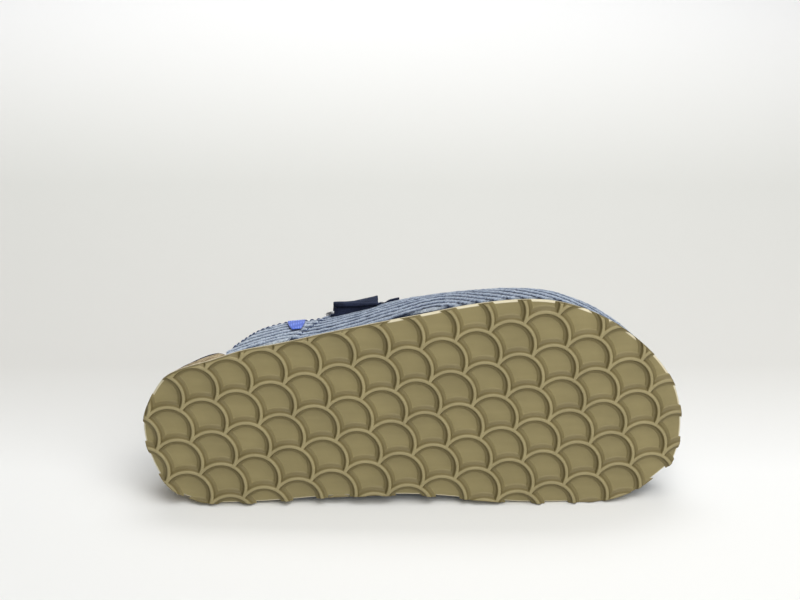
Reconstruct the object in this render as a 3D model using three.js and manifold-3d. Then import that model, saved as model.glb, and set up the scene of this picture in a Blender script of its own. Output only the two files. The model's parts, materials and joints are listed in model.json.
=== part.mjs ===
// A right clog with a closed toe, an open heel and a buckled instep strap, lying on its medial side.
// Shoe frame, in millimetres: x runs from the heel tip to the toe tip, y points to the medial side
// and is 0 on the line that touches heel and ball on that side, z is the height over the tread.

import * as THREE from "three";
import { mergeVertices } from "three/addons/utils/BufferGeometryUtils.js";
import { ConvexHull } from "three/addons/math/ConvexHull.js";
import Module from "manifold-3d";

const wasm = await Module();
wasm.setup();

// Sole
const soleLength = 272;
const ballWidth = 107.5;
const outsoleThickness = 6.6;
const treadDepth = 2.9;
const toeSpring = 9;
const toeSpringStart = 0.7;
const heelRoll = 1.6;
const heelRollEnd = 0.13;
const treadEdgeInset = 1.6;
const treadEdgeHeight = 1.8;
const treadEdgeRound = 0.4;
const rimStep = 0.7;
const rimStepHeight = 0.25;

// Tread of staggered scales
const scaleWidth = 24.8;
const scaleTurn = 60;
const ribWidth = 1.5;
const ribSpread = 1.3;
const scaleTopSegments = 6;
const scaleSideSegments = 2;

// Footbed: cork core and its liner
const corkHeelInset = 1.6;
const corkHeelTaper = 2.8;
const corkTaper = 2.4;
const corkRearLean = 1.4;
const corkSideEnd = 0.128;
const linerThickness = 1.5;
const linerInset = 0.7;
const cupHeight = 25;
const cupPower = 2.8;
const cupEnd = 30;

// Upper
const wall = 2.5;
const clearance = 0.35;
const instepHeight = 77;
const corkClearance = 0.6;
const upperRearShare = 0.152;
const cornerShare = 0.37;
const throatShare = 0.455;
const noseShare = 0.8;
const nosePower = 3;
const archPower = 3.4;
const ridgeLean = 0.47;

// Instep strap, buckle and side tag
const strapWidth = 23;
const strapRearShare = 0.349;
const strapThickness = 1.9;
const strapMedialEnd = 0.3;
const strapGap = 0.6;
const tabThickness = 1;
const tabGap = 0.55;
const tabOverhang = 1.5;
const tabFoot = 0.24;
const tabTop = 0.35;
const buckleLower = 0.4;
const buckleUpper = 0.63;
const buckleBar = 2.6;
const buckleThickness = 1.8;
const buckleSideGap = 1.5;
const buckleLift = 0.6;
const buckleCorner = 1.5;
const buckleRounding = 0.22;
const upperBarGap = 1.6;
const pinDiameter = 2;
const pinFoot = 0.53;
const freeEndShare = 0.25;
const freeEndRearLift = 5.6;
const freeEndFrontLift = 1.7;
const tagShare = 0.258;
const tagWidth = 11;
const tagHeight = 17;
const tagThickness = 0.8;
const tagDrop = 2.5;

// Fineness of the surfaces
const soleStations = 30;
const endCrowding = 0.8;
const rearCrowding = 1.2;
const footbedColumns = 8;
const outlineSamples = 720;
const openStations = 7;
const closedStations = 16;
const sideRows = 6;
const middleRows = 5;
const strapColumns = 3;
const strapRows = 26;
const tabRows = 6;
const weldDistance = 1e-4;

// Sole outline: how far each edge lies from the medial tangent, as a share of the ball width.
const outlineRows = [
  { at: 0.007, lateral: 0.472, medial: 0.27 },
  { at: 0.037, lateral: 0.608, medial: 0.105 },
  { at: 0.067, lateral: 0.655, medial: 0.042 },
  { at: 0.126, lateral: 0.702, medial: 0 },
  { at: 0.185, lateral: 0.751, medial: 0 },
  { at: 0.244, lateral: 0.78, medial: 0.008 },
  { at: 0.333, lateral: 0.833, medial: 0.028 },
  { at: 0.422, lateral: 0.881, medial: 0.038 },
  { at: 0.511, lateral: 0.927, medial: 0.038 },
  { at: 0.6, lateral: 0.973, medial: 0.021 },
  { at: 0.689, lateral: 0.998, medial: 0.003 },
  { at: 0.748, lateral: 0.992, medial: 0 },
  { at: 0.807, lateral: 0.952, medial: 0.003 },
  { at: 0.867, lateral: 0.876, medial: 0.013 },
  { at: 0.926, lateral: 0.757, medial: 0.066 },
  { at: 0.963, lateral: 0.652, medial: 0.132 },
  { at: 0.989, lateral: 0.53, medial: 0.195 },
];
const heelTipAcross = 0.388;
const toeTipAcross = 0.361;

// Footbed: heights over the outsole of the middle and of both rims, as shares of the cup's height.
const footbedRows = [
  { at: 0, middle: 0.68, lateralRim: 0.96, medialRim: 0.94 },
  { at: 0.15, middle: 0.5, lateralRim: 0.86, medialRim: 0.92 },
  { at: 0.3, middle: 0.56, lateralRim: 0.76, medialRim: 1 },
  { at: 0.42, middle: 0.62, lateralRim: 0.68, medialRim: 1.02 },
  { at: 0.6, middle: 0.46, lateralRim: 0.56, medialRim: 0.64 },
  { at: 0.72, middle: 0.38, lateralRim: 0.5, medialRim: 0.5 },
  { at: 0.79, middle: 0.46, lateralRim: 0.5, medialRim: 0.5 },
  { at: 0.88, middle: 0.38, lateralRim: 0.46, medialRim: 0.46 },
  { at: 1, middle: 0.38, lateralRim: 0.42, medialRim: 0.42 },
];

// Upper: height of the ridge over the tread as a share of the instep height, and how far the wall
// stands inside the sole edge, in thicknesses of the wall.
const upperRows = [
  { at: 0.1, ridge: 1, lateralInset: 0.45, medialInset: 0.56 },
  { at: 0.17, ridge: 1, lateralInset: 0.35, medialInset: 0.56 },
  { at: 0.25, ridge: 1, lateralInset: -0.1, medialInset: 0.56 },
  { at: 0.33, ridge: 0.987, lateralInset: 0.9, medialInset: 0.56 },
  { at: 0.39, ridge: 0.965, lateralInset: 0.75, medialInset: 0.56 },
  { at: 0.45, ridge: 0.93, lateralInset: 0.05, medialInset: 0.52 },
  { at: 0.51, ridge: 0.89, lateralInset: -0.3, medialInset: 0.48 },
  { at: 0.62, ridge: 0.8, lateralInset: 0.04, medialInset: 0.48 },
  { at: 0.74, ridge: 0.682, lateralInset: 0.08, medialInset: 0.48 },
  { at: 0.84, ridge: 0.597, lateralInset: 0.36, medialInset: 0.48 },
  { at: 0.93, ridge: 0.545, lateralInset: 0.68, medialInset: 0.48 },
  { at: 1, ridge: 0.494, lateralInset: 0.6, medialInset: 0.56 },
];

// Topline of the open rear up to the corner of the throat: its height over the tread along each
// side, as a share of the instep height.
const toplineRows = [
  { at: 0.152, lateral: 0.182, medial: 0.195 },
  { at: 0.165, lateral: 0.258, medial: 0.272 },
  { at: 0.185, lateral: 0.37, medial: 0.383 },
  { at: 0.21, lateral: 0.5, medial: 0.513 },
  { at: 0.24, lateral: 0.585, medial: 0.597 },
  { at: 0.275, lateral: 0.61, medial: 0.623 },
  { at: 0.31, lateral: 0.623, medial: 0.636 },
  { at: 0.34, lateral: 0.669, medial: 0.682 },
  { at: 0.37, lateral: 0.766, medial: 0.779 },
];

// The strap's way from the medial end over the ridge to the free end: 0 where it lies on the upper
// and 1 where it runs over the lower bar of the buckle.
const strapLiftRows = [
  { at: 0, lift: 0 },
  { at: 0.64, lift: 0 },
  { at: 0.75, lift: 0.1 },
  { at: 0.83, lift: 0.56 },
  { at: 0.88, lift: 1 },
  { at: 0.92, lift: 1 },
  { at: 1, lift: 0.55 },
];

const lateral = -1;
const medial = 1;

function mix(from, to, share) {
  return from + (to - from) * share;
}

function smoothStep(from, to, value) {
  const share = Math.min(Math.max((value - from) / (to - from), 0), 1);
  return share * share * (3 - 2 * share);
}

// A smooth curve through one column of a table, held at the table's ends.
function columnOf(rows, column) {
  const slopes = rows.map((row, i) => {
    const before = rows[Math.max(i - 1, 0)];
    const after = rows[Math.min(i + 1, rows.length - 1)];
    return (after[column] - before[column]) / (after.at - before.at);
  });
  return (share) => {
    const held = Math.min(Math.max(share, rows[0].at), rows[rows.length - 1].at);
    let i = 0;
    while (i < rows.length - 2 && held > rows[i + 1].at) i += 1;
    const span = rows[i + 1].at - rows[i].at;
    const t = (held - rows[i].at) / span;
    const bend = t * (1 - t);
    const line = mix(rows[i][column], rows[i + 1][column], t);
    const rise = rows[i + 1][column] - rows[i][column];
    const leave = (slopes[i] * span - rise) * bend * (1 - t);
    const arrive = (rise - slopes[i + 1] * span) * bend * t;
    return line + leave + arrive;
  };
}

function columnPair(rows, lateralColumn, medialColumn) {
  const onLateral = columnOf(rows, lateralColumn);
  const onMedial = columnOf(rows, medialColumn);
  return (share, side) => (side === lateral ? onLateral(share) : onMedial(share));
}

// How far the sole lifts off the floor at the toe and at the back of the heel.
function rise(x) {
  const toe = Math.max(x / soleLength - toeSpringStart, 0) / (1 - toeSpringStart);
  const heel = Math.max(heelRollEnd - x / soleLength, 0) / heelRollEnd;
  return toeSpring * toe ** 2 + heelRoll * heel ** 2;
}

const outlineCurve = new THREE.CatmullRomCurve3(
  [
    new THREE.Vector3(0, -heelTipAcross * ballWidth, 0),
    ...outlineRows.map((row) => new THREE.Vector3(row.at * soleLength, -row.lateral * ballWidth, 0)),
    new THREE.Vector3(soleLength, -toeTipAcross * ballWidth, 0),
    ...outlineRows.toReversed().map(
      (row) => new THREE.Vector3(row.at * soleLength, -row.medial * ballWidth, 0),
    ),
  ],
  true,
  "centripetal",
);
const outlineSteps = outlineCurve.getSpacedPoints(outlineSamples).slice(0, outlineSamples);
const toeStep = outlineSteps.reduce((best, point, i) => (point.x > outlineSteps[best].x ? i : best), 0);

// The outline moved inwards by inset(share of length, side), with its two edges as functions of x.
function ringOf(inset) {
  const moved = outlineSteps.map((point, i) => {
    const before = outlineSteps[(i + outlineSamples - 1) % outlineSamples];
    const after = outlineSteps[(i + 1) % outlineSamples];
    const side = i <= toeStep ? lateral : medial;
    const inwards = new THREE.Vector3(before.y - after.y, after.x - before.x, 0).normalize();
    return point.clone().addScaledVector(inwards, inset(point.x / soleLength, side));
  });
  const heel = moved.reduce((best, point, i) => (point.x < moved[best].x ? i : best), 0);
  const toe = moved.reduce((best, point, i) => (point.x > moved[best].x ? i : best), 0);
  const walk = (from, to, step) => {
    const points = [moved[from]];
    for (let i = from; i !== to; i = (i + step + outlineSamples) % outlineSamples) {
      const next = moved[(i + step + outlineSamples) % outlineSamples];
      if (next.x > points[points.length - 1].x) points.push(next);
    }
    return points;
  };
  const chains = { [lateral]: walk(heel, toe, 1), [medial]: walk(heel, toe, -1) };
  const edge = (x, side) => {
    const chain = chains[side];
    let low = 0;
    let high = chain.length - 1;
    while (high - low > 1) {
      const middle = Math.floor((low + high) / 2);
      if (chain[middle].x > x) high = middle;
      else low = middle;
    }
    const share = (x - chain[low].x) / (chain[high].x - chain[low].x);
    return mix(chain[low].y, chain[high].y, Math.min(Math.max(share, 0), 1));
  };
  return { heelX: moved[heel].x, toeX: moved[toe].x, heelY: moved[heel].y, toeY: moved[toe].y, edge };
}

// Triangles gathered into one closed geometry that faces outwards.
function closedGeometry(triangles) {
  const loose = new THREE.BufferGeometry();
  loose.setAttribute("position", new THREE.BufferAttribute(new Float32Array(triangles.flat(2)), 3));
  const merged = mergeVertices(loose, weldDistance);
  const index = merged.index.array;
  const position = merged.attributes.position;
  const kept = [];
  const corners = [new THREE.Vector3(), new THREE.Vector3(), new THREE.Vector3()];
  let volume = 0;
  for (let i = 0; i < index.length; i += 3) {
    const [a, b, c] = [index[i], index[i + 1], index[i + 2]];
    if (a !== b && b !== c && a !== c) {
      kept.push(a, b, c);
      corners.forEach((corner, k) => corner.fromBufferAttribute(position, index[i + k]));
      volume += corners[0].dot(corners[1].clone().cross(corners[2]));
    }
  }
  if (volume < 0) kept.reverse();
  merged.setIndex(kept);
  return merged;
}

function quad(a, b, c, d) {
  return [
    [a.toArray(), b.toArray(), c.toArray()],
    [a.toArray(), c.toArray(), d.toArray()],
  ];
}

function stationX(ring, i) {
  const even = i / soleStations;
  const crowded = (1 - Math.cos(Math.PI * even)) / 2;
  return mix(ring.heelX, ring.toeX, mix(even, crowded, endCrowding));
}

// One level of a sole piece: at each station a point on the lateral and on the medial edge.
function levelOf(ring, height) {
  const rows = [];
  for (let i = 0; i <= soleStations; i += 1) {
    const x = stationX(ring, i);
    const atTip = i === 0 || i === soleStations;
    const tipY = i === 0 ? ring.heelY : ring.toeY;
    const point = (side) => {
      const y = atTip ? tipY : ring.edge(x, side);
      return new THREE.Vector3(x, y, height(x, atTip ? lateral : side) + rise(x));
    };
    rows.push({ [lateral]: point(lateral), [medial]: point(medial) });
  }
  return rows;
}

// The points of a cap across one level; crown(x, across) gives heights where the cap isn't flat.
function capRows(level, columns, crown) {
  return level.map((row, i) =>
    Array.from({ length: columns + 1 }, (_, c) => {
      const point = row[lateral].clone().lerp(row[medial], c / columns);
      const inside = c > 0 && c < columns && i > 0 && i < soleStations;
      if (crown && inside) point.z = crown(point.x, (2 * c) / columns - 1) + rise(point.x);
      return point;
    }),
  );
}

function gridTriangles(rows) {
  const triangles = [];
  for (let i = 0; i + 1 < rows.length; i += 1) {
    for (let c = 0; c + 1 < rows[i].length; c += 1) {
      triangles.push(...quad(rows[i][c], rows[i + 1][c], rows[i + 1][c + 1], rows[i][c + 1]));
    }
  }
  return triangles;
}

function turned(triangles) {
  return triangles.map(([a, b, c]) => [c, b, a]);
}

// A closed body of stacked levels, from the bottom cap to the top cap.
function stackedBody(levels, bottomCap, topCap) {
  const triangles = [...turned(gridTriangles(bottomCap)), ...gridTriangles(topCap)];
  for (let k = 0; k + 1 < levels.length; k += 1) {
    const [under, over] = [levels[k], levels[k + 1]];
    for (let i = 0; i < soleStations; i += 1) {
      const [l, m] = [lateral, medial];
      triangles.push(...quad(under[i][l], under[i + 1][l], over[i + 1][l], over[i][l]));
      triangles.push(...quad(under[i + 1][m], under[i][m], over[i][m], over[i + 1][m]));
    }
  }
  return closedGeometry(triangles);
}

// A sheet with a wall: quads of point numbers, with an outer and an inner point for each number.
function thickSheet(quads, outer, inner) {
  const triangles = [];
  const uses = new Map();
  for (const corners of quads) {
    const loop = corners.filter((key, k) => key !== corners[(k + 1) % corners.length]);
    for (let k = 1; k + 1 < loop.length; k += 1) {
      triangles.push([loop[0], loop[k], loop[k + 1]].map((key) => outer[key].toArray()));
      triangles.push([loop[k + 1], loop[k], loop[0]].map((key) => inner[key].toArray()));
    }
    loop.forEach((key, k) => {
      const next = loop[(k + 1) % loop.length];
      const name = [Math.min(key, next), Math.max(key, next)].join();
      uses.set(name, [...(uses.get(name) ?? []), [key, next]]);
    });
  }
  for (const edges of uses.values()) {
    if (edges.length === 1) {
      const [from, to] = edges[0];
      triangles.push(...quad(outer[to], outer[from], inner[from], inner[to]));
    }
  }
  return closedGeometry(triangles);
}

function solidOf(geometry) {
  const bare = new THREE.BufferGeometry();
  bare.setAttribute("position", geometry.attributes.position);
  if (geometry.index) bare.setIndex(geometry.index);
  const merged = mergeVertices(bare, weldDistance);
  return new wasm.Manifold(
    new wasm.Mesh({
      numProp: 3,
      vertProperties: new Float32Array(merged.attributes.position.array),
      triVerts: new Uint32Array(merged.index.array),
    }),
  );
}

function geometryOf(solid) {
  const mesh = solid.getMesh();
  const geometry = new THREE.BufferGeometry();
  geometry.setAttribute("position", new THREE.BufferAttribute(new Float32Array(mesh.vertProperties), 3));
  geometry.setIndex(new THREE.BufferAttribute(new Uint32Array(mesh.triVerts), 1));
  return geometry;
}

// The outline of one scale's pocket, moved inwards from the middle of its ribs.
function pocketOutline(inset) {
  const radius = scaleWidth / 2;
  const inner = radius - inset;
  const outer = radius + inset;
  const points = [];
  const arc = (centreX, centreY, size, from, to, segments) => {
    for (let k = 0; k < segments; k += 1) {
      const angle = mix(from, to, k / segments);
      points.push([centreX + size * Math.cos(angle), centreY + size * Math.sin(angle)]);
    }
  };
  // Each upper corner is where the scale's own arc meets the arc of the neighbour below it.
  const gap = Math.hypot(radius, radius);
  const reach = (inner ** 2 - outer ** 2 + gap ** 2) / (2 * gap);
  const corner = Math.PI * 1.25 - Math.acos(reach / inner);
  const turn = Math.PI - corner;
  const cornerX = inner * Math.cos(turn);
  const cornerY = inner * Math.sin(turn);
  const sideAngle = Math.atan2(cornerY + radius, radius - cornerX);
  const footAngle = Math.acos(radius / outer);
  arc(0, 0, inner, turn, Math.PI - turn, scaleTopSegments);
  arc(-radius, -radius, outer, sideAngle, footAngle, scaleSideSegments);
  arc(radius, -radius, outer, Math.PI - footAngle, Math.PI - sideAngle, scaleSideSegments);
  return points;
}

function pocketBody(centre, turn) {
  const spread = ribSpread / treadDepth;
  const below = 1;
  const place = (inset, height) =>
    pocketOutline(inset).map(([across, along]) => {
      const x = centre.x + along * Math.cos(turn) - across * Math.sin(turn);
      const y = centre.y - along * Math.sin(turn) - across * Math.cos(turn);
      return new THREE.Vector3(x, y, height + rise(x));
    });
  const mouth = place(ribWidth / 2 - spread * below, -below);
  const floor = place(ribWidth / 2 + ribSpread, treadDepth);
  const flat = floor.map((point) => new THREE.Vector2(point.x, point.y));
  const triangles = [];
  for (const corners of THREE.ShapeUtils.triangulateShape(flat, [])) {
    const upwards = THREE.ShapeUtils.area(corners.map((k) => flat[k])) > 0;
    const loop = upwards ? corners : corners.toReversed();
    triangles.push(loop.map((k) => floor[k].toArray()));
    triangles.push(loop.toReversed().map((k) => mouth[k].toArray()));
  }
  floor.forEach((point, k) => {
    const next = (k + 1) % floor.length;
    triangles.push(...quad(floor[next], point, mouth[k], mouth[next]));
  });
  return solidOf(closedGeometry(triangles));
}

function makeOutsole() {
  const levels = [
    [treadEdgeInset, 0],
    [treadEdgeInset * treadEdgeRound, treadEdgeHeight * (1 - treadEdgeRound)],
    [0, treadEdgeHeight],
    [0, treadDepth + rimStepHeight],
    [rimStep, treadDepth + 2 * rimStepHeight],
    [rimStep, outsoleThickness],
  ].map(([inset, height]) => levelOf(ringOf(() => inset), () => height));
  const bottom = capRows(levels[0], 1);
  const top = capRows(levels[levels.length - 1], 1);
  const solid = solidOf(stackedBody(levels, bottom, top));
  const turn = THREE.MathUtils.degToRad(scaleTurn);
  const radius = scaleWidth / 2;
  const edge = ringOf(() => 0);
  const count = Math.ceil(soleLength / radius);
  const middle = new THREE.Vector2(soleLength / 2, -ballWidth / 2);
  const pockets = [];
  for (let row = -count; row <= count; row += 1) {
    for (let k = -count; k <= count; k += 1) {
      const across = (2 * k + (row % 2)) * radius;
      const along = row * radius;
      const x = middle.x + along * Math.cos(turn) - across * Math.sin(turn);
      const y = middle.y - along * Math.sin(turn) - across * Math.cos(turn);
      const near = x > -radius && x < soleLength + radius;
      const held = Math.min(Math.max(x, edge.heelX + radius), edge.toeX - radius);
      const between = y > edge.edge(held, lateral) - radius && y < edge.edge(held, medial) + radius;
      if (near && between) pockets.push(pocketBody(new THREE.Vector2(x, y), turn));
    }
  }
  // A rib that only grazes the rim leaves a loose sliver there, so the largest body is the outsole.
  const bodies = solid.subtract(wasm.Manifold.union(pockets)).decompose();
  return geometryOf(bodies.reduce((best, body) => (body.volume() > best.volume() ? body : best)));
}

// Inset of the upper's outer face from the sole edge, and of the cork inside it.
const insetInWalls = columnPair(upperRows, "lateralInset", "medialInset");
const ridgeShare = columnOf(upperRows, "ridge");
const toplineShare = columnPair(toplineRows, "lateral", "medial");

function upperInset(share, side) {
  return insetInWalls(share, side) * wall;
}

function toplineHeight(share, side) {
  return toplineShare(share, side) * instepHeight;
}

const upperSeat = outsoleThickness + clearance;

function corkInset(share, side) {
  const covered = upperInset(share, side) + wall + corkClearance;
  return mix(corkHeelInset, covered, smoothStep(corkSideEnd, upperRearShare, share));
}

function corkTopInset(share, side) {
  const lean = corkTaper + corkRearLean * (1 - smoothStep(upperRearShare, throatShare, share));
  const covered = upperInset(share, side) + wall + corkClearance + lean;
  return mix(corkHeelInset + corkHeelTaper, covered, smoothStep(corkSideEnd, upperRearShare, share));
}

const footbedMiddle = columnOf(footbedRows, "middle");
const footbedRim = columnPair(footbedRows, "lateralRim", "medialRim");

function footbedHeight(x, across) {
  const share = x / soleLength;
  const rim = footbedRim(share, across < 0 ? lateral : medial);
  const toEnd = Math.min(x - corkHeelInset, soleLength - corkHeelInset - x);
  const endwards = Math.max(1 - toEnd / cupEnd, 0);
  const rimwards = Math.min(Math.hypot(across, endwards), 1);
  return outsoleThickness + cupHeight * mix(footbedMiddle(share), rim, rimwards ** cupPower);
}

function rimHeight(x, side) {
  return outsoleThickness + cupHeight * footbedRim(x / soleLength, side);
}

function footbedEdge() {
  return levelOf(ringOf((share, side) => corkTopInset(share, side) + linerInset), rimHeight);
}

function makeCork() {
  const levels = [
    levelOf(ringOf(corkInset), () => outsoleThickness + clearance),
    levelOf(ringOf(corkTopInset), rimHeight),
    footbedEdge(),
  ];
  const topCap = capRows(levels[2], footbedColumns, footbedHeight);
  return stackedBody(levels, capRows(levels[0], 1), topCap);
}

function makeLiner() {
  const rows = capRows(footbedEdge(), footbedColumns, footbedHeight);
  const lifted = (lift) => rows.map((row) => row.map((point) => point.clone().setZ(point.z + lift)));
  const [under, over] = [lifted(clearance), lifted(clearance + linerThickness)];
  const quads = [];
  const width = footbedColumns + 1;
  for (let i = 0; i < soleStations; i += 1) {
    for (let c = 0; c < footbedColumns; c += 1) {
      const key = (row, column) => {
        const atTip = row === 0 || row === soleStations;
        return row * width + (atTip ? 0 : column);
      };
      quads.push([key(i, c), key(i + 1, c), key(i + 1, c + 1), key(i, c + 1)]);
    }
  }
  return thickSheet(quads, over.flat(), under.flat());
}

// The upper's outer face, moved inwards by shrink: share 0 at its seat and 1 on the ridge.
const baseRing = ringOf(upperInset);
const shrunkRings = new Map();

function shrunkRing(shrink) {
  if (!shrunkRings.has(shrink)) {
    shrunkRings.set(shrink, ringOf((share, side) => upperInset(share, side) + shrink));
  }
  return shrunkRings.get(shrink);
}

function archSize(x, side, shrink) {
  const ring = shrunkRing(shrink);
  const held = Math.min(x, ring.toeX);
  const centre = (at) => mix(baseRing.edge(at, medial), baseRing.edge(at, lateral), ridgeLean);
  const noseStart = noseShare * soleLength;
  const toNose = Math.max(held - noseStart, 0) / (ring.toeX - noseStart);
  const nose = (1 - Math.min(toNose, 1) ** nosePower) ** (1 / nosePower);
  const seat = upperSeat + rise(held);
  const middle = mix(centre(held), ring.toeY, toNose ** nosePower);
  return {
    x: held,
    middle,
    half: Math.max(ring.edge(held, side) * side - middle * side, 0) * Math.sign(nose),
    seat,
    height: (ridgeShare(held / soleLength) * instepHeight - seat - shrink) * nose,
  };
}

function upperPoint(x, side, share, shrink) {
  const arch = archSize(x, side, shrink);
  const angle = (Math.min(share, 1) * Math.PI) / 2;
  const power = 2 / archPower;
  const out = Math.max(Math.cos(angle), 0) ** power;
  const up = Math.sin(angle) ** power;
  return new THREE.Vector3(arch.x, arch.middle + side * arch.half * out, arch.seat + arch.height * up);
}

function shareAtHeight(x, side, height, shrink) {
  const arch = archSize(x, side, shrink);
  const up = Math.min((height - arch.seat) / arch.height, 1);
  return (Math.asin(up ** (archPower / 2)) * 2) / Math.PI;
}

const cornerX = cornerShare * soleLength;
const throatX = throatShare * soleLength;
const upperColumns = 2 * (sideRows + middleRows) + 1;

// One point of the upper's net: station along the shoe, column from the lateral to the medial seat.
function upperNode(station, column, shrink) {
  const side = column <= sideRows + middleRows ? lateral : medial;
  const up = side === lateral ? column : upperColumns - 1 - column;
  const cornerTop = shareAtHeight(cornerX, side, toplineHeight(cornerShare, side), shrink);
  if (station < openStations) {
    const x = mix(upperRearShare * soleLength, cornerX, (station / openStations) ** rearCrowding);
    const top = shareAtHeight(x, side, toplineHeight(x / soleLength, side), shrink);
    return upperPoint(x, side, (top * up) / sideRows, shrink);
  }
  const toMiddle = Math.max(up - sideRows, 0) / middleRows;
  const share = up <= sideRows ? (cornerTop * up) / sideRows : mix(cornerTop, 1, toMiddle);
  const start = mix(cornerX, throatX, Math.sin((toMiddle * Math.PI) / 2));
  const along = Math.sin((((station - openStations) / closedStations) * Math.PI) / 2);
  return upperPoint(mix(start, shrunkRing(shrink).toeX, along), side, share, shrink);
}

function makeUpper() {
  const last = openStations + closedStations;
  const key = (station, column) => station * upperColumns + (station === last ? 0 : column);
  const net = (shrink) =>
    Array.from({ length: (last + 1) * upperColumns }, (_, k) =>
      upperNode(Math.floor(k / upperColumns), k % upperColumns, shrink),
    );
  const quads = [];
  for (let i = 0; i < last; i += 1) {
    for (let c = 0; c + 1 < upperColumns; c += 1) {
      const onSide = c < sideRows || c >= upperColumns - 1 - sideRows;
      if (i >= openStations || onSide) {
        quads.push([key(i, c), key(i + 1, c), key(i + 1, c + 1), key(i, c + 1)]);
      }
    }
  }
  return thickSheet(quads, net(0), net(wall));
}

// A band over the upper: place(along, across) gives its inner face at lift 0.
function makeBand(place, rows, columns, thickness) {
  const net = (lift) =>
    Array.from({ length: (rows + 1) * (columns + 1) }, (_, k) =>
      place(Math.floor(k / (columns + 1)) / rows, (k % (columns + 1)) / columns, lift),
    );
  const quads = [];
  for (let i = 0; i < rows; i += 1) {
    for (let c = 0; c < columns; c += 1) {
      const key = (row, column) => row * (columns + 1) + column;
      quads.push([key(i, c), key(i + 1, c), key(i + 1, c + 1), key(i, c + 1)]);
    }
  }
  return thickSheet(quads, net(thickness), net(0));
}

const strapRear = strapRearShare * soleLength;
const liftShare = columnOf(strapLiftRows, "lift");
const overBar = buckleLift + buckleThickness + strapGap;

function strapLift(along) {
  return mix(clearance, overBar, liftShare(along));
}

const medialRun = 1 - strapMedialEnd;
const strapRun = medialRun + 1 - freeEndShare;

function strapAlong(lateralShare) {
  return (medialRun + 1 - lateralShare) / strapRun;
}

// The strap runs from its medial end (0) over the ridge to its free lateral end (1).
function strapPlace(along, across, lift) {
  const x = strapRear + strapWidth * across;
  const run = along * strapRun;
  const side = run < medialRun ? medial : lateral;
  const share = run < medialRun ? strapMedialEnd + run : 1 - (run - medialRun);
  const toTip = smoothStep(buckleLower, freeEndShare, share) * (side === lateral ? 1 : 0);
  const flare = mix(freeEndRearLift, freeEndFrontLift, across) - strapLift(1);
  return upperPoint(x, side, share, -(strapLift(along) + flare * toTip + lift));
}

function makeStrap() {
  return makeBand(strapPlace, strapRows, strapColumns, strapThickness);
}

function makeTab() {
  const place = (along, across, lift) => {
    const x = strapRear - tabOverhang + (strapWidth + 2 * tabOverhang) * across;
    return upperPoint(x, lateral, mix(tabFoot, tabTop, along), -(tabGap + lift));
  };
  return makeBand(place, tabRows, strapColumns, tabThickness);
}

// Axes of the buckle: across the strap, along it towards the ridge, and outwards.
function buckleFrame() {
  const centreX = strapRear + strapWidth / 2;
  const lowLift = buckleLift + buckleThickness / 2;
  const highLift = strapLift(strapAlong(buckleUpper)) + strapThickness + upperBarGap + buckleThickness / 2;
  const low = upperPoint(centreX, lateral, buckleLower, -lowLift);
  const high = upperPoint(centreX, lateral, buckleUpper, -highLift);
  const rear = upperPoint(strapRear, lateral, (buckleLower + buckleUpper) / 2, -lowLift);
  const front = upperPoint(strapRear + strapWidth, lateral, (buckleLower + buckleUpper) / 2, -lowLift);
  const up = high.clone().sub(low);
  const spacing = up.length();
  up.normalize();
  const along = front.clone().sub(rear);
  along.addScaledVector(up, -along.dot(up)).normalize();
  const out = along.clone().cross(up);
  const centre = low.clone().lerp(high, 0.5);
  return { placed: new THREE.Matrix4().makeBasis(along, up, out).setPosition(centre), spacing };
}

function roundedRectangle(width, height, radius, pathClass) {
  const path = new pathClass();
  const [w, h] = [width / 2, height / 2];
  path.moveTo(-w + radius, -h);
  path.lineTo(w - radius, -h);
  path.absarc(w - radius, -h + radius, radius, -Math.PI / 2, 0, false);
  path.lineTo(w, h - radius);
  path.absarc(w - radius, h - radius, radius, 0, Math.PI / 2, false);
  path.lineTo(-w + radius, h);
  path.absarc(-w + radius, h - radius, radius, Math.PI / 2, Math.PI, false);
  path.lineTo(-w, -h + radius);
  path.absarc(-w + radius, -h + radius, radius, Math.PI, Math.PI * 1.5, false);
  return path;
}

function makeBuckle() {
  const { placed, spacing } = buckleFrame();
  const innerWidth = strapWidth + 2 * buckleSideGap;
  const outer = roundedRectangle(
    innerWidth + 2 * buckleBar, spacing + buckleBar, buckleCorner * buckleBar, THREE.Shape,
  );
  outer.holes.push(roundedRectangle(innerWidth, spacing - buckleBar, buckleBar / 2, THREE.Path));
  const round = buckleThickness * buckleRounding;
  const geometry = new THREE.ExtrudeGeometry(outer, {
    depth: buckleThickness - 2 * round,
    bevelThickness: round,
    bevelSize: round,
    bevelOffset: -round,
    bevelSegments: 1,
    curveSegments: 3,
  });
  geometry.translate(0, 0, -buckleThickness / 2 + round);
  return geometryOf(solidOf(geometry.applyMatrix4(placed)));
}

function makePin() {
  const { placed, spacing } = buckleFrame();
  const clear = clearance + pinDiameter / 2;
  const footLift = strapLift(strapAlong(pinFoot)) + strapThickness + clear;
  const foot = upperPoint(strapRear + strapWidth / 2, lateral, pinFoot, -footLift);
  const head = new THREE.Vector3(0, spacing / 2, buckleThickness / 2 + clear);
  head.applyMatrix4(placed);
  const along = head.clone().sub(foot);
  const geometry = new THREE.CapsuleGeometry(pinDiameter / 2, along.length(), 2, 8);
  const turn = new THREE.Quaternion().setFromUnitVectors(new THREE.Vector3(0, 1, 0), along.normalize());
  geometry.applyQuaternion(turn);
  geometry.translate(...foot.add(head).multiplyScalar(0.5).toArray());
  return geometryOf(solidOf(geometry));
}

function makeTag() {
  const x = tagShare * soleLength;
  const top = toplineHeight(tagShare, lateral) - tagDrop;
  const share = (height) => shareAtHeight(x, lateral, height, 0);
  const place = (along, across, lift) =>
    upperPoint(x + tagWidth * across, lateral, share(top - tagHeight * (1 - along)), -(clearance + lift));
  return makeBand(place, 3, 2, tagThickness);
}

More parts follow.
